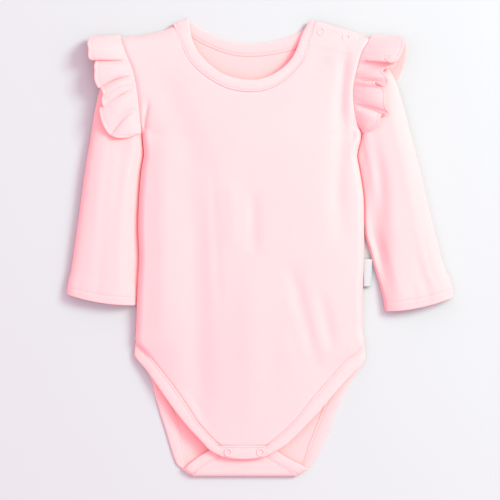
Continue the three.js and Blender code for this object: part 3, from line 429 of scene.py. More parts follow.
def lay_cloth(name, across, along, place, thickness, material, tube=False):
    """A cloth piece from a grid. place(u, v) gives the outside point in millimetres, then
    its place across and along the flat cloth. The wall lies behind the outside."""
    bm = bmesh.new()
    cloth_map = bm.loops.layers.uv.new("cloth")
    bmesh.ops.create_grid(bm, x_segments=across, y_segments=along, size=0.5)
    flat = {}
    for vert in bm.verts:
        x, y, z, cloth_u, cloth_v = place(vert.co.x + 0.5, vert.co.y + 0.5)
        vert.co = laid_at(x, y, z)
        flat[vert] = (cloth_u * MM, cloth_v * MM)
    for face in bm.faces:
        face.smooth = True
        for loop in face.loops:
            loop[cloth_map].uv = flat[loop.vert]
    if tube:
        bmesh.ops.remove_doubles(bm, verts=bm.verts, dist=0.02 * MM)
    mesh = bpy.data.meshes.new(name)
    bm.to_mesh(mesh)
    bm.free()
    piece = bpy.data.objects.new(name, mesh)
    bpy.context.collection.objects.link(piece)
    mesh.materials.append(material)
    if thickness:
        add_wall(piece, thickness)
    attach(piece, "root")
    return piece


SEAM_DIP = 0.9
SEAM_DIP_WIDTH = 1.7
COLUMN_CROWDING = 0.11
front_top = panel_top(LEFT_SHOULDER, FRONT_NECK, RIGHT_SHOULDER)


def spread(u):
    """Columns crowd towards both sides, where the cloth rolls over."""
    return u - COLUMN_CROWDING * math.sin(2 * math.pi * u)


def front_place(u, v):
    share = spread(u)
    top_y = front_top(share)
    y = CROTCH_Y + (top_y - CROTCH_Y) * v
    x = across_panel(share, y, front_left, front_right)
    z = front_height(x, y, top_y)
    beside = min(x - front_left(y), front_right(y) - x)
    seamed_side = 1 - ease(HIP_Y - 10, HIP_Y, y) * (1 - ease(ARMPIT_Y, ARMPIT_Y + 6, y))
    from_edge = min(top_y - y, y - CROTCH_Y + 1, beside / max(seamed_side, 0.01))
    z -= SEAM_DIP * math.exp(-((from_edge / SEAM_DIP_WIDTH) ** 2))
    return x, y, z, x, y


front = lay_cloth("front", 186, 232, front_place, KNIT_WALL, knit)
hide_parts("front_panel")

# Back panel: the same knit, flat on the floor. Its crotch end turns forward round the
# bottom fold and lies under the front as the flap that the crotch snaps hold.
BACK_ROLL = 7
FOLD_RADIUS = 3.5
FLAP_END_Y = 27
ARMHOLE_LIFT = 1.8
SEAM_GAP = 0.3
# place up the garment, left edge, right edge
BACK_LEG_OUTLINE = [
    (0, -53, 43.5), (9, -57, 47), (18, -59, 50.5), (31, -61.5, 55), (45, -65, 60.5), (60, -70, 66),
    (73, -74, 72), (90, -78.5, 80.5), (102, -85.5, 89), (113, -96, 98), (121, -103, 103),
]
FLAP_OUTLINE = [(0, -51, 41), (4, -48.5, 36), (10, -40.5, 25.5), (16, -31, 16.5), (27, -22, 10)]
# stitched edge x, y, free edge x, y
BACK_NECK = [
    (-68, 407, -54.6, 411), (-60, 401, -50, 408), (-52, 396.5, -44, 404), (-40, 390, -33, 398.8),
    (-24, 383.5, -21, 394.2), (-10, 380.5, -8, 391.8), (2, 380, 3, 391.2), (15, 381, 13, 392),
    (29, 383.5, 25, 394.2), (42, 387, 37, 397.8), (52, 393, 47, 402.5), (59, 402, 53, 408),
]
BACK_RIGHT_SHOULDER = [(59, 402), (71, 403.5), (88, 401), (108, 396)]

back_leg_left = curve_of(BACK_LEG_OUTLINE, 0, 1)
back_leg_right = curve_of(BACK_LEG_OUTLINE, 0, 2)
flap_left = curve_of(FLAP_OUTLINE, 0, 1)
flap_right = curve_of(FLAP_OUTLINE, 0, 2)
back_top = panel_top(LEFT_SHOULDER, BACK_NECK, BACK_RIGHT_SHOULDER)


def back_left(y):
    return back_leg_left(y) if y < HIP_Y else front_left(y)


def back_right(y):
    return back_leg_right(y) if y < HIP_Y else front_right(y)


def armhole_under(y):
    share = 2 * (y - ARMPIT_Y) / (SHOULDER_TIP_Y - ARMPIT_Y) - 1
    arch = math.sqrt(max(0, 1 - abs(share) ** 8))
    return ARMHOLE_LIFT + (SEAM_HEIGHT - SEAM_GAP - ARMHOLE_LIFT) * (1 - arch)


def back_height(x, y, top_y):
    if y < HIP_Y - 14:
        return 0
    beside = min(x - front_left(y), front_right(y) - x)
    in_armhole = ease(ARMPIT_Y, ARMPIT_Y + 6, y)
    rise = SEAM_HEIGHT - SEAM_GAP
    seamed = ease(HIP_Y - 14, HIP_Y, y) * (1 - in_armhole)
    side = seamed * rise * (1 - edge_roll(beside, BACK_ROLL))
    arm = in_armhole * armhole_under(min(y, SHOULDER_TIP_Y)) * (1 - edge_roll(beside, 2 * BACK_ROLL))
    on_left_shoulder = 1 - ease(NECK_CORNER_X - 1, NECK_CORNER_X + 5, x)
    shoulder = on_left_shoulder * rise * (1 - edge_roll(top_y - y, BACK_ROLL))
    return max(side, arm, shoulder)


BODY_SHARE = 0.86
FOLD_SHARE = 0.93


def back_place(u, v):
    share = spread(u)
    if v < BODY_SHARE:
        top_y = back_top(share)
        y = top_y + (FOLD_RADIUS - top_y) * v / BODY_SHARE
        x = across_panel(share, y, back_left, back_right)
        return x, y, back_height(x, y, top_y), x, y
    if v < FOLD_SHARE:
        turn = (v - BODY_SHARE) / (FOLD_SHARE - BODY_SHARE)
        y = FOLD_RADIUS * (1 - math.sin(math.pi * turn))
        left = back_left(y) * (1 - turn) + flap_left(y) * turn
        right = back_right(y) * (1 - turn) + flap_right(y) * turn
        x = left + (right - left) * share
        return x, y, FOLD_RADIUS * (1 - math.cos(math.pi * turn)), x, FOLD_RADIUS * (1 - math.pi * turn)
    reach = (v - FOLD_SHARE) / (1 - FOLD_SHARE)
    y = FOLD_RADIUS + (FLAP_END_Y - FOLD_RADIUS) * reach
    x = flap_left(y) + (flap_right(y) - flap_left(y)) * share
    sag = 0.5 * math.sin(math.pi * reach) * math.exp(-(((x + 28) / 9) ** 2))
    from_edge = min(x - flap_left(y), flap_right(y) - x)
    sag += reach * SEAM_DIP * math.exp(-((from_edge / SEAM_DIP_WIDTH) ** 2))
    return x, y, 2 * FOLD_RADIUS - sag, x, -math.pi * FOLD_RADIUS - y


back = lay_cloth("back", 110, 220, back_place, KNIT_WALL, knit)
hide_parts("back_panel")

# Sleeves: flattened tubes of the same knit, sewn into the armholes and closed along the
# underarm, each ending in a turned hem held by a row of coverstitch.
SLEEVE_SEAM_HEIGHT = 5
SLEEVE_MAP_WIDTH = 100
SLEEVE_MAP_LENGTH = 245
# outer x, y, inner x, y, height, lift of the underside, bow
SLEEVE_LEFT_RINGS = [
    (-116.5, 396, -98.4, 309, 13, 1.8, 0), (-119.5, 388, -99, 304, 14, 3.2, 2),
    (-126, 374, -97.7, 297, 14.5, 3.6, 3), (-134, 355, -97.6, 287, 14.5, 3.6, 3),
    (-140, 330, -99.7, 272, 14.5, 2.6, 2), (-144.5, 303, -101.1, 255, 15, 0.6, 1),
    (-149, 276, -101.8, 238, 15, 0, 0), (-152.5, 250, -102.2, 221, 14.5, 0, 0),
    (-156, 224, -101.8, 203, 14, 0, 0), (-159, 203, -102.4, 187, 13.5, 0, 1),
    (-161.4, 187, -103.2, 174, 13, 0, 1.5), (-163.4, 179, -104, 170, 13.2, 0, 2),
    (-165, 171, -104.5, 162, 13, 0, 2), (-165.2, 164.5, -104.5, 154.5, 12.5, 0, 2.5),
]
SLEEVE_RIGHT_RINGS = [
    (108.5, 396, 102, 309, 13, 1.8, 0), (113, 388, 102.6, 303, 14, 3.2, 3),
    (121, 374, 99.8, 294, 14.5, 3.6, 4), (131.5, 356, 99.3, 282, 14.5, 3.6, 4),
    (141, 325, 102.2, 264, 14.5, 2.6, 2), (148.5, 297, 104, 247, 14.5, 0.6, 1),
    (155, 272, 104.3, 231, 14, 0, 0), (160.5, 247, 105.2, 216, 13.5, 0, 0),
    (166, 225, 108.5, 203, 13, 0, 1), (171, 205, 112, 190, 12.5, 0, 1.5),
    (175.5, 189, 116, 177, 12.5, 0, 2), (180.5, 179, 119, 166, 13, 0, 2.5),
    (182.5, 170, 121, 157, 13, 0, 2.5), (183.5, 162, 122, 149, 12, 0, 3),
]
# share along, share across, length, half width (shares), depth in mm
SLEEVE_LEFT_FOLDS = [
    (0.62, 0.78, 0.30, 0.10, 0.7), (0.40, 0.62, 0.22, 0.08, 0.5), (0.90, 0.18, 0.07, 0.035, 0.3),
    (0.88, 0.45, 0.09, 0.05, 0.2), (0.80, 0.45, 0.16, 0.07, 0.4),
    (0.24, 0.86, 0.16, 0.06, 0.7), (0.52, 0.30, 0.22, 0.09, -0.5),
]
SLEEVE_RIGHT_FOLDS = [
    (0.36, 0.69, 0.12, 0.13, 3.2), (0.50, 0.79, 0.12, 0.13, 4.4), (0.63, 0.87, 0.10, 0.12, 3.6),
    (0.84, 0.36, 0.16, 0.07, 0.8), (0.20, 0.84, 0.12, 0.09, 2.0),
    (0.90, 0.55, 0.07, 0.04, 0.3), 
    (0.46, 0.25, 0.26, 0.10, -0.6), (0.76, 0.20, 0.14, 0.05, 0.4),
]
HEM_SHARE = 0.925
HEM_GROOVE = 0.006
HEM_DIP = 0.3
HEM_RISE = 0.22
HEAD_DIP = 2.4
# The inner edge lies beside the body's side seam as far as the sleeve meets the body. From that
# edge the cloth steps up at once by a share of its height, and rises softly over the rest.
BESIDE_BODY = 0.15
PARTING = 0.16
LIP_AT_BODY = 4.3
LIP_FREE = 2.6
LIP_STEP = 0.42
LIP_STEP_AT_CUFF = 0.4
LIP_EDGE = 1.7
LIP_ROLL = 17
SLEEVE_WALL = 1.1
FLOOR_GAP = 0.06


def ring_at(rings, share):
    """One ring of a sleeve at a share of the way from armhole to cuff."""
    return line_through(rings)(share)


def sleeve_place(rings, folds, armhole_edge, side, part_at):
    """A sleeve's outside point at u round the tube and v along it. The sleeve lies against
    the body down to the share part_at of its length."""

    def place(u, v):
        share_along = v
        outer_x, outer_y, inner_x, inner_y, height, lift, bow = ring_at(rings, share_along)
        turn = 2 * u
        under = turn > 1
        share = math.cos(math.pi * turn)
        mix = (share + 1) / 2
        x = outer_x + (inner_x - outer_x) * mix
        y = outer_y + (inner_y - outer_y) * mix
        low = ease(0.01, 0.06, share_along)
        against = 1 - ease(part_at, part_at + PARTING, share_along)
        body_side = armhole_edge(inner_y) + side * BESIDE_BODY
        lip_height = LIP_FREE + (LIP_AT_BODY - LIP_FREE) * against
        x += against * ease(0.6, 1, mix) * (body_side - inner_x)
        near_armhole = 1 - ease(0, 0.06, share_along)
        tip_gap = 0.15 + 1.05 * ease(SHOULDER_TIP_Y - 12, SHOULDER_TIP_Y, y)
        x += (armhole_edge(y) + side * tip_gap - x) * near_armhole
        y -= bow * (1 - share * share)
        middle = max(SLEEVE_SEAM_HEIGHT, lift + 3)
        if under:
            lip = low * ease(0.82, 1, mix)
            rim = middle + (lip_height - middle) * lip
            z = lift * (1 - lip)
            z += (rim - z) * (1 - math.sqrt(max(0, 1 - abs(share) ** 8)))
            z = max(z, FLOOR_GAP)
        else:
            z = middle + (height - middle) * math.sqrt(max(0, 1 - abs(share) ** 4))
            from_rim = (1 - share) * math.hypot(inner_x - outer_x, inner_y - outer_y) / 2
            step = LIP_STEP + LIP_STEP_AT_CUFF * ease(0.7, 0.94, share_along)
            risen = step * ease(0, LIP_EDGE, from_rim) + (1 - step) * ease(0, LIP_ROLL, from_rim)
            z -= low * (z - lip_height) * (1 - risen)
            over = ease(0, 0.25, 1 - abs(share))
            for at_v, at_mix, length, width, depth in folds:
                reach = math.exp(-(((share_along - at_v) / length) ** 2) - ((mix - at_mix) / width) ** 2)
                z -= over * depth * reach * (1 - ease(0.96, 1, share_along))
            groove = math.exp(-(((share_along - HEM_SHARE) / HEM_GROOVE) ** 2))
            rise = ease(HEM_SHARE, HEM_SHARE + 0.02, share_along)
            z += over * (HEM_RISE * rise - HEM_DIP * groove)
            z -= over * HEAD_DIP * math.exp(-((share_along / 0.014) ** 2))
            z += over * UNEVEN_FAR * noise.noise(Vector((x / 20, y / 26, 3)))
        round_x = SLEEVE_MAP_WIDTH * (turn if turn < 1 else 2 - turn)
        return x, y, z, round_x, SLEEVE_MAP_LENGTH * share_along

    return place


SLEEVES = [
    ("sleeve_left", SLEEVE_LEFT_RINGS, SLEEVE_LEFT_FOLDS, front_left, -1, 1.2),
    ("sleeve_right", SLEEVE_RIGHT_RINGS, SLEEVE_RIGHT_FOLDS, front_right, 1, 0.44),
]
for name, rings, folds, armhole_edge, side, part_at in SLEEVES:
    sleeve = lay_cloth(
        name.replace("sleeve", "sleeve_cloth"), 128, 170,
        sleeve_place(rings, folds, armhole_edge, side, part_at), 0, knit, tube=True,
    )
    turn_faces(sleeve, bmesh.ops.recalc_face_normals)
    add_wall(sleeve, SLEEVE_WALL)
    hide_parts(name)

# Bindings: a folded strip of the same knit closed over each raw edge and held by a row of
# coverstitch. The neck has one, each leg opening has one, and a short band ends the front.
BINDING_PINK = (0.99, 0.486, 0.502, 1)
binding_knit = knit_material("pink_binding", BINDING_PINK)
UP = (0, 0, 1)
DOWN = (0, 0, -1)
# each row: a point on the free edge, a point on the stitched edge, the way the outside faces
LEG_LEFT_ROWS = [
    ((-25.6, 18.6, 12.6), (-26.9, 27.5, 12.6), UP), ((-36, 24.2, 12.2), (-32.8, 32.8, 12.2), UP),
    ((-44.5, 33, 11.9), (-38.9, 38.8, 12), UP), ((-56.5, 45.8, 11.4), (-48.3, 49.8, 11.7), UP),
    ((-69, 61.5, 10.7), (-60.3, 67.8, 11.1), UP), ((-82.5, 80.5, 9.6), (-73.3, 85.8, 10.2), UP),
    ((-94, 96.5, 8), (-86.8, 102.8, 9.4), (-0.1, 0, 1)),
    ((-101.5, 104.5, 6.6), (-94.9, 110.9, 7.6), (-0.5, -0.1, 1)),
    ((-104.6, 108.6, 3.9), (-103.4, 120.2, 5), (-1, 0, 0)),
    ((-100.5, 103.5, 0.6), (-96.4, 112.8, 1), (-0.4, 0, -1)),
    ((-94.5, 96.5, 0), (-86.4, 101.8, 0), DOWN), ((-89, 86.5, 0), (-79.4, 90, 0), DOWN),
    ((-85, 70, 0), (-74.3, 73, 0), DOWN), ((-81, 56, 0), (-70.3, 59.8, 0), DOWN),
    ((-76.5, 42, 0), (-65.3, 45, 0), DOWN), ((-72.5, 28.5, 0), (-61.8, 31, 0), DOWN),
    ((-69.2, 18, 0), (-59.3, 18, 0), DOWN), ((-66, 10.6, 0), (-57.3, 9, 0), DOWN),
    ((-62.6, 7, 0.8), (-54.8, 2.2, 0.8), (-0.2, -0.6, -1)),
    ((-60.6, 5.8, 3.5), (-53.2, 0.7, 3.5), (-0.3, -1, 0)),
    ((-58.6, 7.2, 6.3), (-51.6, 1.9, 6.3), (-0.2, -0.6, 1)),
    ((-55.5, 10.8, 7.1), (-49.7, 4.4, 7.1), UP), ((-46.5, 17.6, 7.1), (-40.8, 10.4, 7.1), UP),
    ((-37, 23.6, 7.1), (-31.3, 16.2, 7.1), UP), ((-29.5, 29.5, 7.1), (-23, 26.5, 7.1), UP),
]
LEG_RIGHT_ROWS = [
    ((13.6, 18.4, 12.6), (14.9, 27.5, 12.6), UP), ((25, 24.4, 12.3), (21.3, 32.7, 12.3), UP),
    ((34, 30.6, 12), (28.9, 38.7, 12.1), UP), ((46.5, 42.6, 11.5), (40.3, 49.7, 11.8), UP),
    ((61.5, 58.2, 10.8), (54.9, 67.7, 11.2), UP), ((77.5, 76.8, 9.7), (70.4, 85.7, 10.3), UP),
    ((91.5, 91.6, 8), (86.4, 102.6, 9.4), (0.1, 0, 1)),
    ((100.4, 99.6, 6.6), (97.4, 110.4, 7.4), (0.5, -0.1, 1)),
    ((104.6, 105.5, 3.9), (103.3, 119.8, 4.9), (1, 0, 0)),
    ((102.4, 101.6, 0.6), (98.4, 112.8, 1), (0.4, 0, -1)),
    ((97, 94, 0), (89.7, 101.8, 0), DOWN), ((89.5, 83.2, 0), (81.3, 89.8, 0), DOWN),
    ((81.8, 68.6, 0), (72.3, 72.8, 0), DOWN), ((76.8, 56, 0), (66.4, 59.8, 0), DOWN),
    ((71.5, 42, 0), (60.9, 45, 0), DOWN), ((66, 29, 0), (55.3, 31, 0), DOWN),
    ((61, 18.4, 0), (50.8, 18, 0), DOWN), ((56.8, 11, 0), (47.3, 9, 0), DOWN),
    ((53.6, 7.4, 0.8), (45.2, 2.2, 0.8), (0.2, -0.6, -1)),
    ((51.4, 6, 3.5), (43.2, 0.7, 3.5), (0.3, -1, 0)),
    ((49.6, 7.4, 6.3), (40.8, 1.9, 6.3), (0.2, -0.6, 1)),
    ((46.4, 10.4, 7.1), (37.2, 4.5, 7.1), UP), ((36, 15.4, 7.1), (25.8, 10.4, 7.1), UP),
    ((25, 22.4, 7.1), (16.8, 16.3, 7.1), UP), ((17.5, 29.5, 7.1), (10.3, 26.6, 7.1), UP),
]
CROTCH_BAND_ROWS = [
    ((-25.5, 18.55, 12.6), (-26.8, 27.5, 12.6), UP), ((-16, 16.8, 12.9), (-16, 27.6, 12.9), UP),
    ((-6, 16.2, 12.9), (-6, 27.6, 12.9), UP), ((4, 16.8, 12.9), (4, 27.6, 12.9), UP),
    ((13.5, 18.35, 12.6), (14.8, 27.5, 12.6), UP),
]
FLAP_LEVEL = 7.1
ON_PANEL = 0.2
NECK_TURN = ((-54.8, 413.4, 4.2), (-67.9, 409.4, 4.4), (0, 1, 0))


def neck_rows():
    """Along the front neck from the right, over the left shoulder, then along the back."""

    def beside(point, z, dip, faces):
        sewn = Vector((point[0], point[1], z))
        free = Vector((point[2], point[3], z - dip))
        sewn += (free - sewn).normalized() * SEAM_GAP
        return (tuple(free), tuple(sewn), faces)

    rows = []
    for i, point in enumerate(reversed(FRONT_NECK)):
        if i == len(FRONT_NECK) - 1:
            rows.append(beside(point, SEAM_HEIGHT + 2, 0.2, (0, 0.4, 1)))
        else:
            rows.append(beside(point, front_height(point[0], point[1], point[1]) + SEAM_GAP, 1, UP))
    rows.append(NECK_TURN)
    for i, point in enumerate(BACK_NECK):
        rows.append(beside(point, 0.6, 0, (0, 0.4, -1)) if i == 0 else beside(point, 0, 0, DOWN))
    return rows


# The folded strip's section, from its free edge over the outside to its sewn edge and back
# along the inside. Share across, height where the outside shows, height where the inside shows:
# the lip that lies over the panel is on the side that shows.
BINDING_SECTION = [
    (0.0, -1.2, -1.2), (0.0, -0.75, -0.75), (0.025, -0.36, -0.36), (0.08, -0.08, -0.1),
    (0.18, 0.1, 0), (0.34, 0.2, 0), (0.5, 0.2, 0), (0.64, 0.14, 0), (0.76, 0.04, 0),
    (0.83, -0.08, 0), (0.875, -0.3, 0), (0.9, -0.38, 0), (0.925, -0.28, 0), (0.965, -0.12, 0),
    (1.01, -0.14, 0), (1.06, -0.34, -0.1), (1.085, -0.6, -0.4), (1.08, -0.8, -0.8),
    (1.03, -0.86, -1.2), (0.99, -0.95, -1.48), (0.985, -1.3, -1.5), (0.985, -1.8, -1.52),
    (0.985, -2.2, -1.56), (0.975, -2.38, -1.66), (0.95, -2.4, -2.2), (0.925, -2.4, -2.05),
    (0.9, -2.4, -1.96), (0.875, -2.4, -2.04), (0.83, -2.4, -2.26), (0.7, -2.4, -2.42),
    (0.5, -2.4, -2.5), (0.3, -2.4, -2.5), (0.15, -2.36, -2.4), (0.05, -2.1, -2.15),
    (0.01, -1.7, -1.7), (0.0, -1.2, -1.2),
]
# Points of the section that lie elsewhere across the strip where the inside shows
INSIDE_SHARES = {
    15: 0.985, 16: 0.985, 17: 0.985, 18: 0.985, 19: 1.0, 20: 1.05, 21: 1.09, 22: 1.095,
    23: 1.07, 24: 0.96,
}
STITCH_SHARE = 0.9
RIPPLE = 0.04


def binding_strip(name, rows, steps_per_row):
    """A strip folded over a raw edge, puffed, with a sewn groove and a lip over the panel."""
    free = line_through([row[0] for row in rows])
    sewn = line_through([row[1] for row in rows])
    faces = line_through([row[2] for row in rows])
    steps = steps_per_row * (len(rows) - 1)
    length = sum(
        (Vector(sewn((k + 1) / steps)) - Vector(sewn(k / steps))).length for k in range(steps)
    )
    last = len(BINDING_SECTION) - 1

    def place(u, v):
        k = round(u * last)
        share, outer, inner = BINDING_SECTION[k]
        out = Vector(faces(v)).normalized()
        shows_outside = ease(-0.4, 0.4, out.z)
        share = INSIDE_SHARES.get(k, share) * (1 - shows_outside) + share * shows_outside
        height = inner * (1 - shows_outside) + outer * shows_outside
        point = Vector(free(v)) + (Vector(sewn(v)) - Vector(free(v))) * share
        ripple = RIPPLE * math.sin(length * v * 1.7) * math.sin(math.pi * min(1, share))
        point += out * (height + ripple * shows_outside)
        return point.x, point.y, max(point.z, 0), share * 10 + 12 * (k > last / 2), length * v

    strip = lay_cloth(name, last, steps, place, 0, binding_knit, tube=True)
    strip_bm = bmesh.new()
    strip_bm.from_mesh(strip.data)
    open_ends = [edge for edge in strip_bm.edges if edge.is_boundary]
    for edge in open_ends:
        edge.smooth = False
    bmesh.ops.holes_fill(strip_bm, edges=open_ends, sides=0)
    bmesh.ops.recalc_face_normals(strip_bm, faces=strip_bm.faces)
    strip_bm.to_mesh(strip.data)
    strip_bm.free()
    return strip, free, sewn, faces, length


def on_front(rows):
    """The rows, with those on the front's edge raised or lowered to the front's surface."""
    fitted = []
    for free_point, sewn_point, faces in rows:
        x, y, z = sewn_point
        shift = 0
        if z > FLAP_LEVEL and faces[2] == 1:
            shift = front_height(x, y, SHOULDER_TIP_Y) + ON_PANEL - z
        lowered = (free_point[0], free_point[1], free_point[2] + shift)
        fitted.append((lowered, (x, y, z + shift), faces))
    return fitted


BINDINGS = [
    ("neck_binding", neck_rows(), 14), ("leg_binding_left", on_front(LEG_LEFT_ROWS), 16),
    ("leg_binding_right", on_front(LEG_RIGHT_ROWS), 16),
    ("crotch_band", on_front(CROTCH_BAND_ROWS), 14),
]
sewn_lines = []
for name, rows, steps_per_row in BINDINGS:
    strip, free, sewn, faces, length = binding_strip(name + "_strip", rows, steps_per_row)
    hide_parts(name)
    sewn_lines.append((free, sewn, faces, length))

# Shoulder ruffles: one strip of a lighter single layer on each armhole, gathered along its
# seam, with a narrow turned hem. The front half falls in soft lobes, the back half lies flat.
RUFFLE_PINK = (0.99, 0.470, 0.490, 1)
RUFFLE_WALL = 0.88
RUFFLE_HEM = 3.1
ruffle_knit = knit_material("pink_ruffle_knit", RUFFLE_PINK)
# place on the armhole seam, hem x, y, height, puff of the cloth between them, and how far it
# bows up the arm there, from the armpit up to the shoulder
RUFFLE_LEFT_HEM = [
    (309.8, -100.2, 308.6, 13.4, 0.5, 0), (312, -104.5, 306.6, 15.2, 1.5, 0),
    (316, -110, 305, 16.6, 2, 0.5), (321, -116, 304.4, 18, 2.4, 1.5),
    (326, -120.5, 305, 18.8, 2.6, 3), (330, -123.6, 306.2, 18.6, 1.6, 4),
    (331.6, -125.2, 307, 17.8, 0.2, 4.2), (333, -127, 308.6, 18.2, 0.8, 4.2),
    (336, -129.4, 311.8, 19.4, 2.2, 4), (339, -131.6, 315.8, 20, 2.8, 3.6),
    (342, -133.4, 320.8, 20, 2.6, 3), (345, -134.6, 326, 19.4, 2, 2.6),
    (347, -135.2, 330.4, 18.2, 1.2, 2.2), (348.2, -133.6, 333.6, 16, 0.4, 2),
    (349, -131, 335, 14.8, 0.2, 2), (349.8, -130.4, 332.2, 17, 0.6, 2),
    (350.8, -131.6, 332.8, 19, 1.2, 2), (352, -132.8, 336.6, 19.8, 1.8, 2.2),
    (353.2, -133.1, 339.2, 19, 1.8, 2.4), (354.6, -131.7, 342.6, 19.8, 2, 2.6),
    (356.2, -132.6, 346, 19.4, 1.6, 3), (357.8, -134.2, 349.6, 17, 0.8, 3),
    (358.8, -133.6, 352.4, 15.2, 0.2, 3), (359.8, -133.2, 350.2, 16.6, 0.6, 3),
    (361, -135.8, 349.4, 18.8, 1.6, 3), (363, -138, 353, 20.2, 2.4, 2.4),
    (365.4, -139.4, 358.6, 20.8, 2.6, 1.6), (368, -139.1, 364.2, 20.4, 2.4, 0.8),
    (370.6, -139.6, 369.4, 19.4, 1.6, 0), (372.6, -138.4, 374, 16.4, 0.6, -0.5),
    (374, -137.6, 377.4, 14.8, 0.2, -0.8), (375.4, -139.6, 374.8, 16.6, 0.8, -0.8),
    (377.6, -143, 374.6, 19.2, 1.8, -0.6), (381, -144.8, 378, 20.6, 2.4, 0),
    (386, -144.6, 384, 20.4, 2.2, 0), (391, -145.6, 390.6, 17.6, 1, 0),
]
RUFFLE_RIGHT_HEM = [
    (309.8, 103, 309.8, 13.6, 0.5, 0), (313, 107.4, 311.2, 15.5, 1.5, 0),
    (318, 112, 313.4, 17.5, 2.2, 0), (323, 115.9, 317.4, 19.2, 2.4, 0),
    (328, 116.5, 321.5, 19.6, 2.2, 0), (331.5, 117, 324.4, 18.6, 1.4, 0),
    (333.6, 119.4, 326, 17.6, 0.2, 1), (334.6, 122.4, 324.8, 18.6, 0.4, 1),
    (335.6, 124.6, 326.6, 19.6, 1, 1), (337, 122.8, 329.6, 21, 2, 0.5),
    (341, 121.4, 334.6, 22.4, 2.6, 0), (346, 121.5, 341.1, 22.8, 2.8, 0),
    (350, 121.6, 345.2, 22.4, 2.4, 0), (352, 119.9, 348.4, 22.2, 2, 0),
    (353.2, 115.2, 350.1, 22, 1.8, 0), (354.2, 112.4, 351.6, 21.8, 1.6, 0),
    (355, 111.2, 353.2, 21.5, 1.4, 0), (355.8, 112.8, 355.2, 21.2, 1.0, 0),
    (356.6, 115.4, 354.4, 20.8, 0.6, 0), (357.4, 118.4, 352.1, 20.8, 0.5, 0),
    (358.2, 121.6, 350.9, 21, 0.8, 0), (359, 124, 353.7, 21.6, 1.6, 0),
    (360.4, 123.3, 357.8, 22.8, 2.4, 0), (362, 120.6, 361.1, 22.4, 2, 0),
    (363.6, 118.6, 364.5, 21.6, 1.2, 0), (365, 121.2, 367.2, 21.2, 0.6, 0),
    (366.6, 125.1, 368.4, 20, 0.3, 0), (368, 128.8, 368.6, 18.8, 0.2, 0),
    (369.4, 130.6, 371.4, 18.6, 0.3, 0), (370.6, 130, 375.8, 19.8, 0.6, 0),
    (371.8, 127.4, 378.4, 20.8, 1, 0), (373, 124.2, 378, 22, 1.4, 0),
    (374, 122.7, 375.3, 22.8, 1.6, 0), (375.2, 124.7, 372.8, 23.2, 1.8, 0),
    (377, 128, 372.2, 23.4, 2, 0), (379.6, 131.6, 373.5, 23.4, 2.2, 0),
    (383, 134.6, 379, 22.2, 2.2, 0), (387.6, 137, 384.4, 20.4, 2, 0),
    (392, 138.6, 390, 18, 1.2, 0),
]
# place on the seam, reach of the cloth from it, hem y, height of the hem
RUFFLE_LEFT_BACK = [
    (389, 30, 389, 0), (376, 29, 373, 1.2), (362, 30, 357, 0), (348, 29, 342, 1.2),
    (335, 25, 328, 0), (322, 18, 316, 0.9), (313, 6, 310, 0),
]
RUFFLE_RIGHT_BACK = [
    (389, 35, 390, 0), (376, 40, 377, 1.2), (362, 39, 363, 0), (348, 31, 344, 1.2),
    (335, 25, 328, 0), (322, 18, 316, 0.9), (313, 6, 310, 0),
]
FRONT_FOOT = 0.15
BACK_FOOT = 2
# height of the ruffle's foot against the body's cloth: level on the left, under it on the right
FOOT_DROP = {-1: 0.7, 1: 1.0}
STEPS_PER_ROW = 11


def ruffle_strip(name, hem_rows, back_rows, armhole_edge, side):
    """A strip whose foot follows the armhole and whose hem follows the table."""
    feet, hems = [], []
    for seam_y, hem_x, hem_y, hem_z, puff, bow in hem_rows:
        foot_z = armhole_top(max(seam_y, ARMPIT_Y + 11)) - FOOT_DROP[side]
        feet.append((armhole_edge(seam_y) + side * FRONT_FOOT, seam_y, foot_z))
        hems.append((hem_x, hem_y, hem_z, puff, bow))
    tip_x = armhole_edge(SHOULDER_TIP_Y) + side * BACK_FOOT
    feet.append((tip_x, SHOULDER_TIP_Y + 2.6, 5.5))
    hems.append((hem_rows[-1][1] - side * 1.5, SHOULDER_TIP_Y + 0.5, 7, 0, 0))
    for seam_y, reach, hem_y, hem_z in back_rows:
        foot_x = armhole_edge(seam_y) + side * BACK_FOOT
        feet.append((foot_x, seam_y, 0))
        hems.append((foot_x + side * reach, hem_y, hem_z, 0, 0))
    foot = line_through(feet)
    hem = line_through(hems)
    rows = len(feet) - 1
    front_share = len(hem_rows) / rows

    def place(u, v):
        start = Vector(foot(v))
        hem_x, hem_y, hem_z, puff, bow = hem(v)
        end = Vector((hem_x, hem_y, hem_z))
        reach = (end - start).length
        point = start.lerp(end, u)
        arch = math.sin(math.pi * u)
        on_front = 1 - ease(front_share - 0.04, front_share, v)
        gather = 0.3 * math.sin(v * rows * 4.4) * math.exp(-u * 6) * min(1, 10 * u)
        from_hem = (1 - u) * reach
        hem_form = 0.25 * ease(-RUFFLE_HEM, -RUFFLE_HEM + 1, -from_hem)
        hem_form -= 0.4 * math.exp(-(((from_hem - RUFFLE_HEM) / 0.5) ** 2))
        point.y += on_front * bow * arch
        point.z = max(0, point.z + on_front * (puff * arch + gather + hem_form))
        return point.x, point.y, point.z, from_hem, 300 * v

    return lay_cloth(name, 40, STEPS_PER_ROW * rows, place, 0, ruffle_knit), place, rows


ruffle_hems = []
for name, hem_rows, back_rows, armhole_edge, side in [
    ("ruffle_left", RUFFLE_LEFT_HEM, RUFFLE_LEFT_BACK, front_left, -1),
    ("ruffle_right", RUFFLE_RIGHT_HEM, RUFFLE_RIGHT_BACK, front_right, 1),
]:
    ruffle, place, rows = ruffle_strip(
        name + "_strip", hem_rows, back_rows, armhole_edge, side
    )
    if side < 0:
        turn_faces(ruffle, bmesh.ops.reverse_faces)
    add_wall(ruffle, RUFFLE_WALL)
    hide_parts(name)
    ruffle_hems.append((name, place, rows))

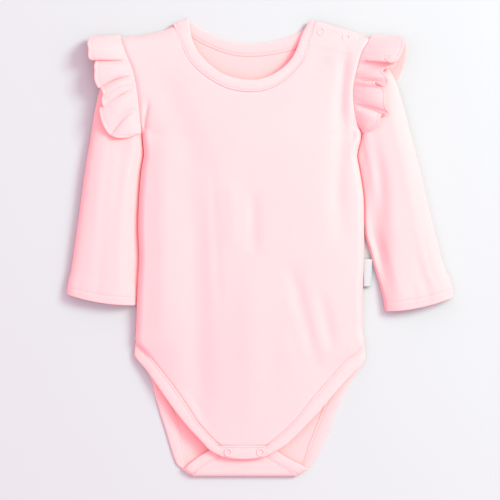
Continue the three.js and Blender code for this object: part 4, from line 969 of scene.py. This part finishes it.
# Snaps: painted ring snaps pressed through the cloth, two at the right shoulder's opening and
# two on the crotch band. The caps are rings, with the cloth showing inside them.
SNAP_TINTS = ((0.95, 0.48, 0.51, 1), (0.97, 0.52, 0.55, 1))


def two_tint_material(name, texture, scale, tints, roughness, start=0, on_cloth_map=False):
    """A plain material whose colour wavers between two tints along a fine texture."""
    material = bpy.data.materials.new(name)
    material.use_nodes = True
    nodes, links = material.node_tree.nodes, material.node_tree.links
    shader = nodes["Principled BSDF"]
    pattern = nodes.new(texture)
    pattern.inputs["Scale"].default_value = scale
    tint = nodes.new("ShaderNodeValToRGB")
    stops = tint.color_ramp.elements
    stops[0].position = start
    for stop, colour in zip(stops, tints):
        stop.color = colour
    if on_cloth_map:
        where = nodes.new("ShaderNodeUVMap")
        where.uv_map = "cloth"
        links.new(where.outputs["UV"], pattern.inputs["Vector"])
    else:
        where = nodes.new("ShaderNodeTexCoord")
        links.new(where.outputs["Object"], pattern.inputs["Vector"])
    links.new(pattern.outputs["Fac"], tint.inputs["Fac"])
    links.new(tint.outputs["Color"], shader.inputs["Base Color"])
    shader.inputs["Roughness"].default_value = roughness
    return material


snap_paint = two_tint_material("snap_paint", "ShaderNodeTexNoise", 900, SNAP_TINTS, 0.6, start=0.3)
snap_paint.node_tree.nodes["Principled BSDF"].inputs["Specular IOR Level"].default_value = 0.3
SNAP_PROFILE = [
    (2.3, -0.1), (3.6, -0.1), (3.72, 0.05), (3.68, 0.22), (3.5, 0.38), (3.15, 0.46), (2.8, 0.4),
    (2.5, 0.24), (2.34, 0.05),
]
SNAP_STEPS = 48
SNAP_REACH = 3.2
SNAP_RAISE = 0.2
for place_name in ("shoulder_inner", "shoulder_outer", "crotch_left", "crotch_right"):
    low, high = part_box(f"snap_{place_name}_ring")
    ring_bm = bmesh.new()
    ring_edge = [ring_bm.verts.new((r * MM, 0, h * MM)) for r, h in SNAP_PROFILE]
    loop_edges = [
        ring_bm.edges.new((ring_edge[k], ring_edge[(k + 1) % len(ring_edge)]))
        for k in range(len(ring_edge))
    ]
    bmesh.ops.spin(
        ring_bm, geom=ring_edge + loop_edges, axis=(0, 0, 1), cent=(0, 0, 0),
        angle=2 * math.pi, steps=SNAP_STEPS, use_merge=True,
    )
    bmesh.ops.remove_doubles(ring_bm, verts=ring_bm.verts, dist=0.005 * MM)
    bmesh.ops.recalc_face_normals(ring_bm, faces=ring_bm.faces)
    middle = Vector(((low[0] + high[0]) / 2, (low[1] + high[1]) / 2, low[2]))
    if place_name.startswith("shoulder"):
        x, y = (middle.x - garment_x) / MM, (middle.y - garment_y) / MM
        heights = [
            front_height(x + dx, y + dy, SHOULDER_TIP_Y + 20)
            for dx, dy in ((-SNAP_REACH, 0), (SNAP_REACH, 0), (0, -SNAP_REACH), (0, SNAP_REACH))
        ]
        lean_x = (heights[1] - heights[0]) / (2 * SNAP_REACH)
        lean_y = (heights[3] - heights[2]) / (2 * SNAP_REACH)
        for vert in ring_bm.verts:
            vert.co.z += lean_x * vert.co.x + lean_y * vert.co.y
        middle.z = (sum(heights) / len(heights) + SNAP_RAISE) * MM
    bmesh.ops.translate(ring_bm, verts=ring_bm.verts, vec=middle)
    for face in ring_bm.faces:
        face.smooth = True
    ring_mesh = bpy.data.meshes.new(f"snap_cap_{place_name}")
    ring_bm.to_mesh(ring_mesh)
    ring_bm.free()
    cap = bpy.data.objects.new(f"snap_cap_{place_name}", ring_mesh)
    bpy.context.collection.objects.link(cap)
    ring_mesh.materials.append(snap_paint)
    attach(cap, "root")
    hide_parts(f"snap_{place_name}_ring")
    stud = bpy.data.objects.get(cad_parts[f"snap_{place_name}_stud"].name)
    stud.data.materials.clear()
    stud.data.materials.append(snap_paint)

# Side label: a short bare ribbon, folded in two and caught in the right side seam.
LABEL_PATH = [
    (102.6, 5.1), (105.5, 5.0), (108.4, 4.2), (110.2, 3.2), (110.5, 2.75), (109.9, 2.55),
    (107.5, 3.2), (104.6, 4.2), (102.7, 4.5),
]
LABEL_BOTTOM = 171.3
LABEL_TOP = 196
RIBBON_TINTS = ((0.375, 0.415, 0.45, 1), (0.43, 0.475, 0.51, 1))
ribbon = two_tint_material(
    "white_ribbon", "ShaderNodeTexWave", 1500, RIBBON_TINTS, 0.45, on_cloth_map=True,
)
label_line = line_through(LABEL_PATH)


def label_place(u, v):
    x, z = label_line(u)
    return x - 0.9 * (1 - v) * (x - 102) / 8, LABEL_BOTTOM + (LABEL_TOP - LABEL_BOTTOM) * v, z, 18 * u, 25 * v


label = lay_cloth("label_ribbon", 36, 24, label_place, 0.3, ribbon)
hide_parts("side_label")

# Stitches: fine pink thread in rows along the bindings, the sleeve hems, the ruffle hems and
# the shoulder placket, each stitch a short rounded bead of thread sunk into the cloth.
STITCH_LENGTH = 2.0
STITCH_PITCH = 2.9
STITCH_RADIUS = 0.17
THREAD_TINTS = ((0.94, 0.34, 0.38, 1), (0.96, 0.37, 0.41, 1))
thread = two_tint_material("pink_thread", "ShaderNodeTexNoise", 1400, THREAD_TINTS, 0.7)


def sew(name, seams):
    """Rows of stitches as one object. Each seam is a list of garment points along a row."""
    bm = bmesh.new()
    for points in seams:
        places = [laid_at(*point) for point in points]
        gone = 0
        for a, b in zip(places, places[1:]):
            step = b - a
            gone += step.length
            if gone < STITCH_PITCH * MM:
                continue
            gone -= STITCH_PITCH * MM
            turn = step.to_track_quat("X", "Z").to_matrix().to_4x4()
            shape = Matrix.Diagonal((STITCH_LENGTH / 2 / STITCH_RADIUS, 1, 1, 1))
            bmesh.ops.create_uvsphere(
                bm, u_segments=6, v_segments=5, radius=STITCH_RADIUS * MM,
                matrix=Matrix.Translation(b) @ turn @ shape,
            )
    for face in bm.faces:
        face.smooth = True
    mesh = bpy.data.meshes.new(name)
    bm.to_mesh(mesh)
    bm.free()
    mesh.materials.append(thread)
    row = bpy.data.objects.new(name, mesh)
    bpy.context.collection.objects.link(row)
    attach(row, "root")
    return row


STITCH_STEP = 0.4
OUTSIDE_STITCH = -0.26
INSIDE_STITCH = -2.02
SLEEVE_HEM_STEPS = 420
RUFFLE_HEM_STEPS = 1500
PLACKET_STEPS = 160
for (name, rows, steps_per_row), (free, sewn, faces, length) in zip(BINDINGS, sewn_lines):
    sides = []
    for height in (OUTSIDE_STITCH, INSIDE_STITCH):
        seam = []
        steps = round(length / STITCH_STEP)
        for k in range(2, steps - 1):
            at = k / steps
            out = Vector(faces(at)).normalized()
            point = Vector(free(at)) + (Vector(sewn(at)) - Vector(free(at))) * STITCH_SHARE
            seam.append(tuple(point + out * height))
        sides.append(seam)
    sew(name + "_stitches", sides)

for name, rings, folds, armhole_edge, side, part_at in SLEEVES:
    at = sleeve_place(rings, folds, armhole_edge, side, part_at)
    seam = []
    for k in range(SLEEVE_HEM_STEPS + 1):
        x, y, z = at(k / SLEEVE_HEM_STEPS, HEM_SHARE)[:3]
        seam.append((x, y, max(z, STITCH_RADIUS)))
    sew(name + "_hem_stitches", [seam])

for name, place, rows in ruffle_hems:
    seam = []
    for k in range(20, RUFFLE_HEM_STEPS - 5):
        v = k / RUFFLE_HEM_STEPS
        reach = place(0, v)[3]
        x, y, z = place(max(0.2, 1 - RUFFLE_HEM / max(reach, 1)), v)[:3]
        seam.append((x, y, max(z + 0.05, STITCH_RADIUS)))
    sew(name + "_hem_stitches", [seam])

# The placket's row below the snaps, from the neck binding to the armhole
PLACKET_ROW = [
    (53.1, 396), (53.4, 392), (54, 388.4), (57, 387.6), (70, 385.6), (84, 382), (94, 379.4),
]
placket = line_through(PLACKET_ROW)
placket_seam = []
for k in range(PLACKET_STEPS):
    x, y = placket(k / PLACKET_STEPS)
    placket_seam.append((x, y, front_height(x, y, SHOULDER_TIP_Y + 20) + 0.02))
sew("placket_stitches", [placket_seam])
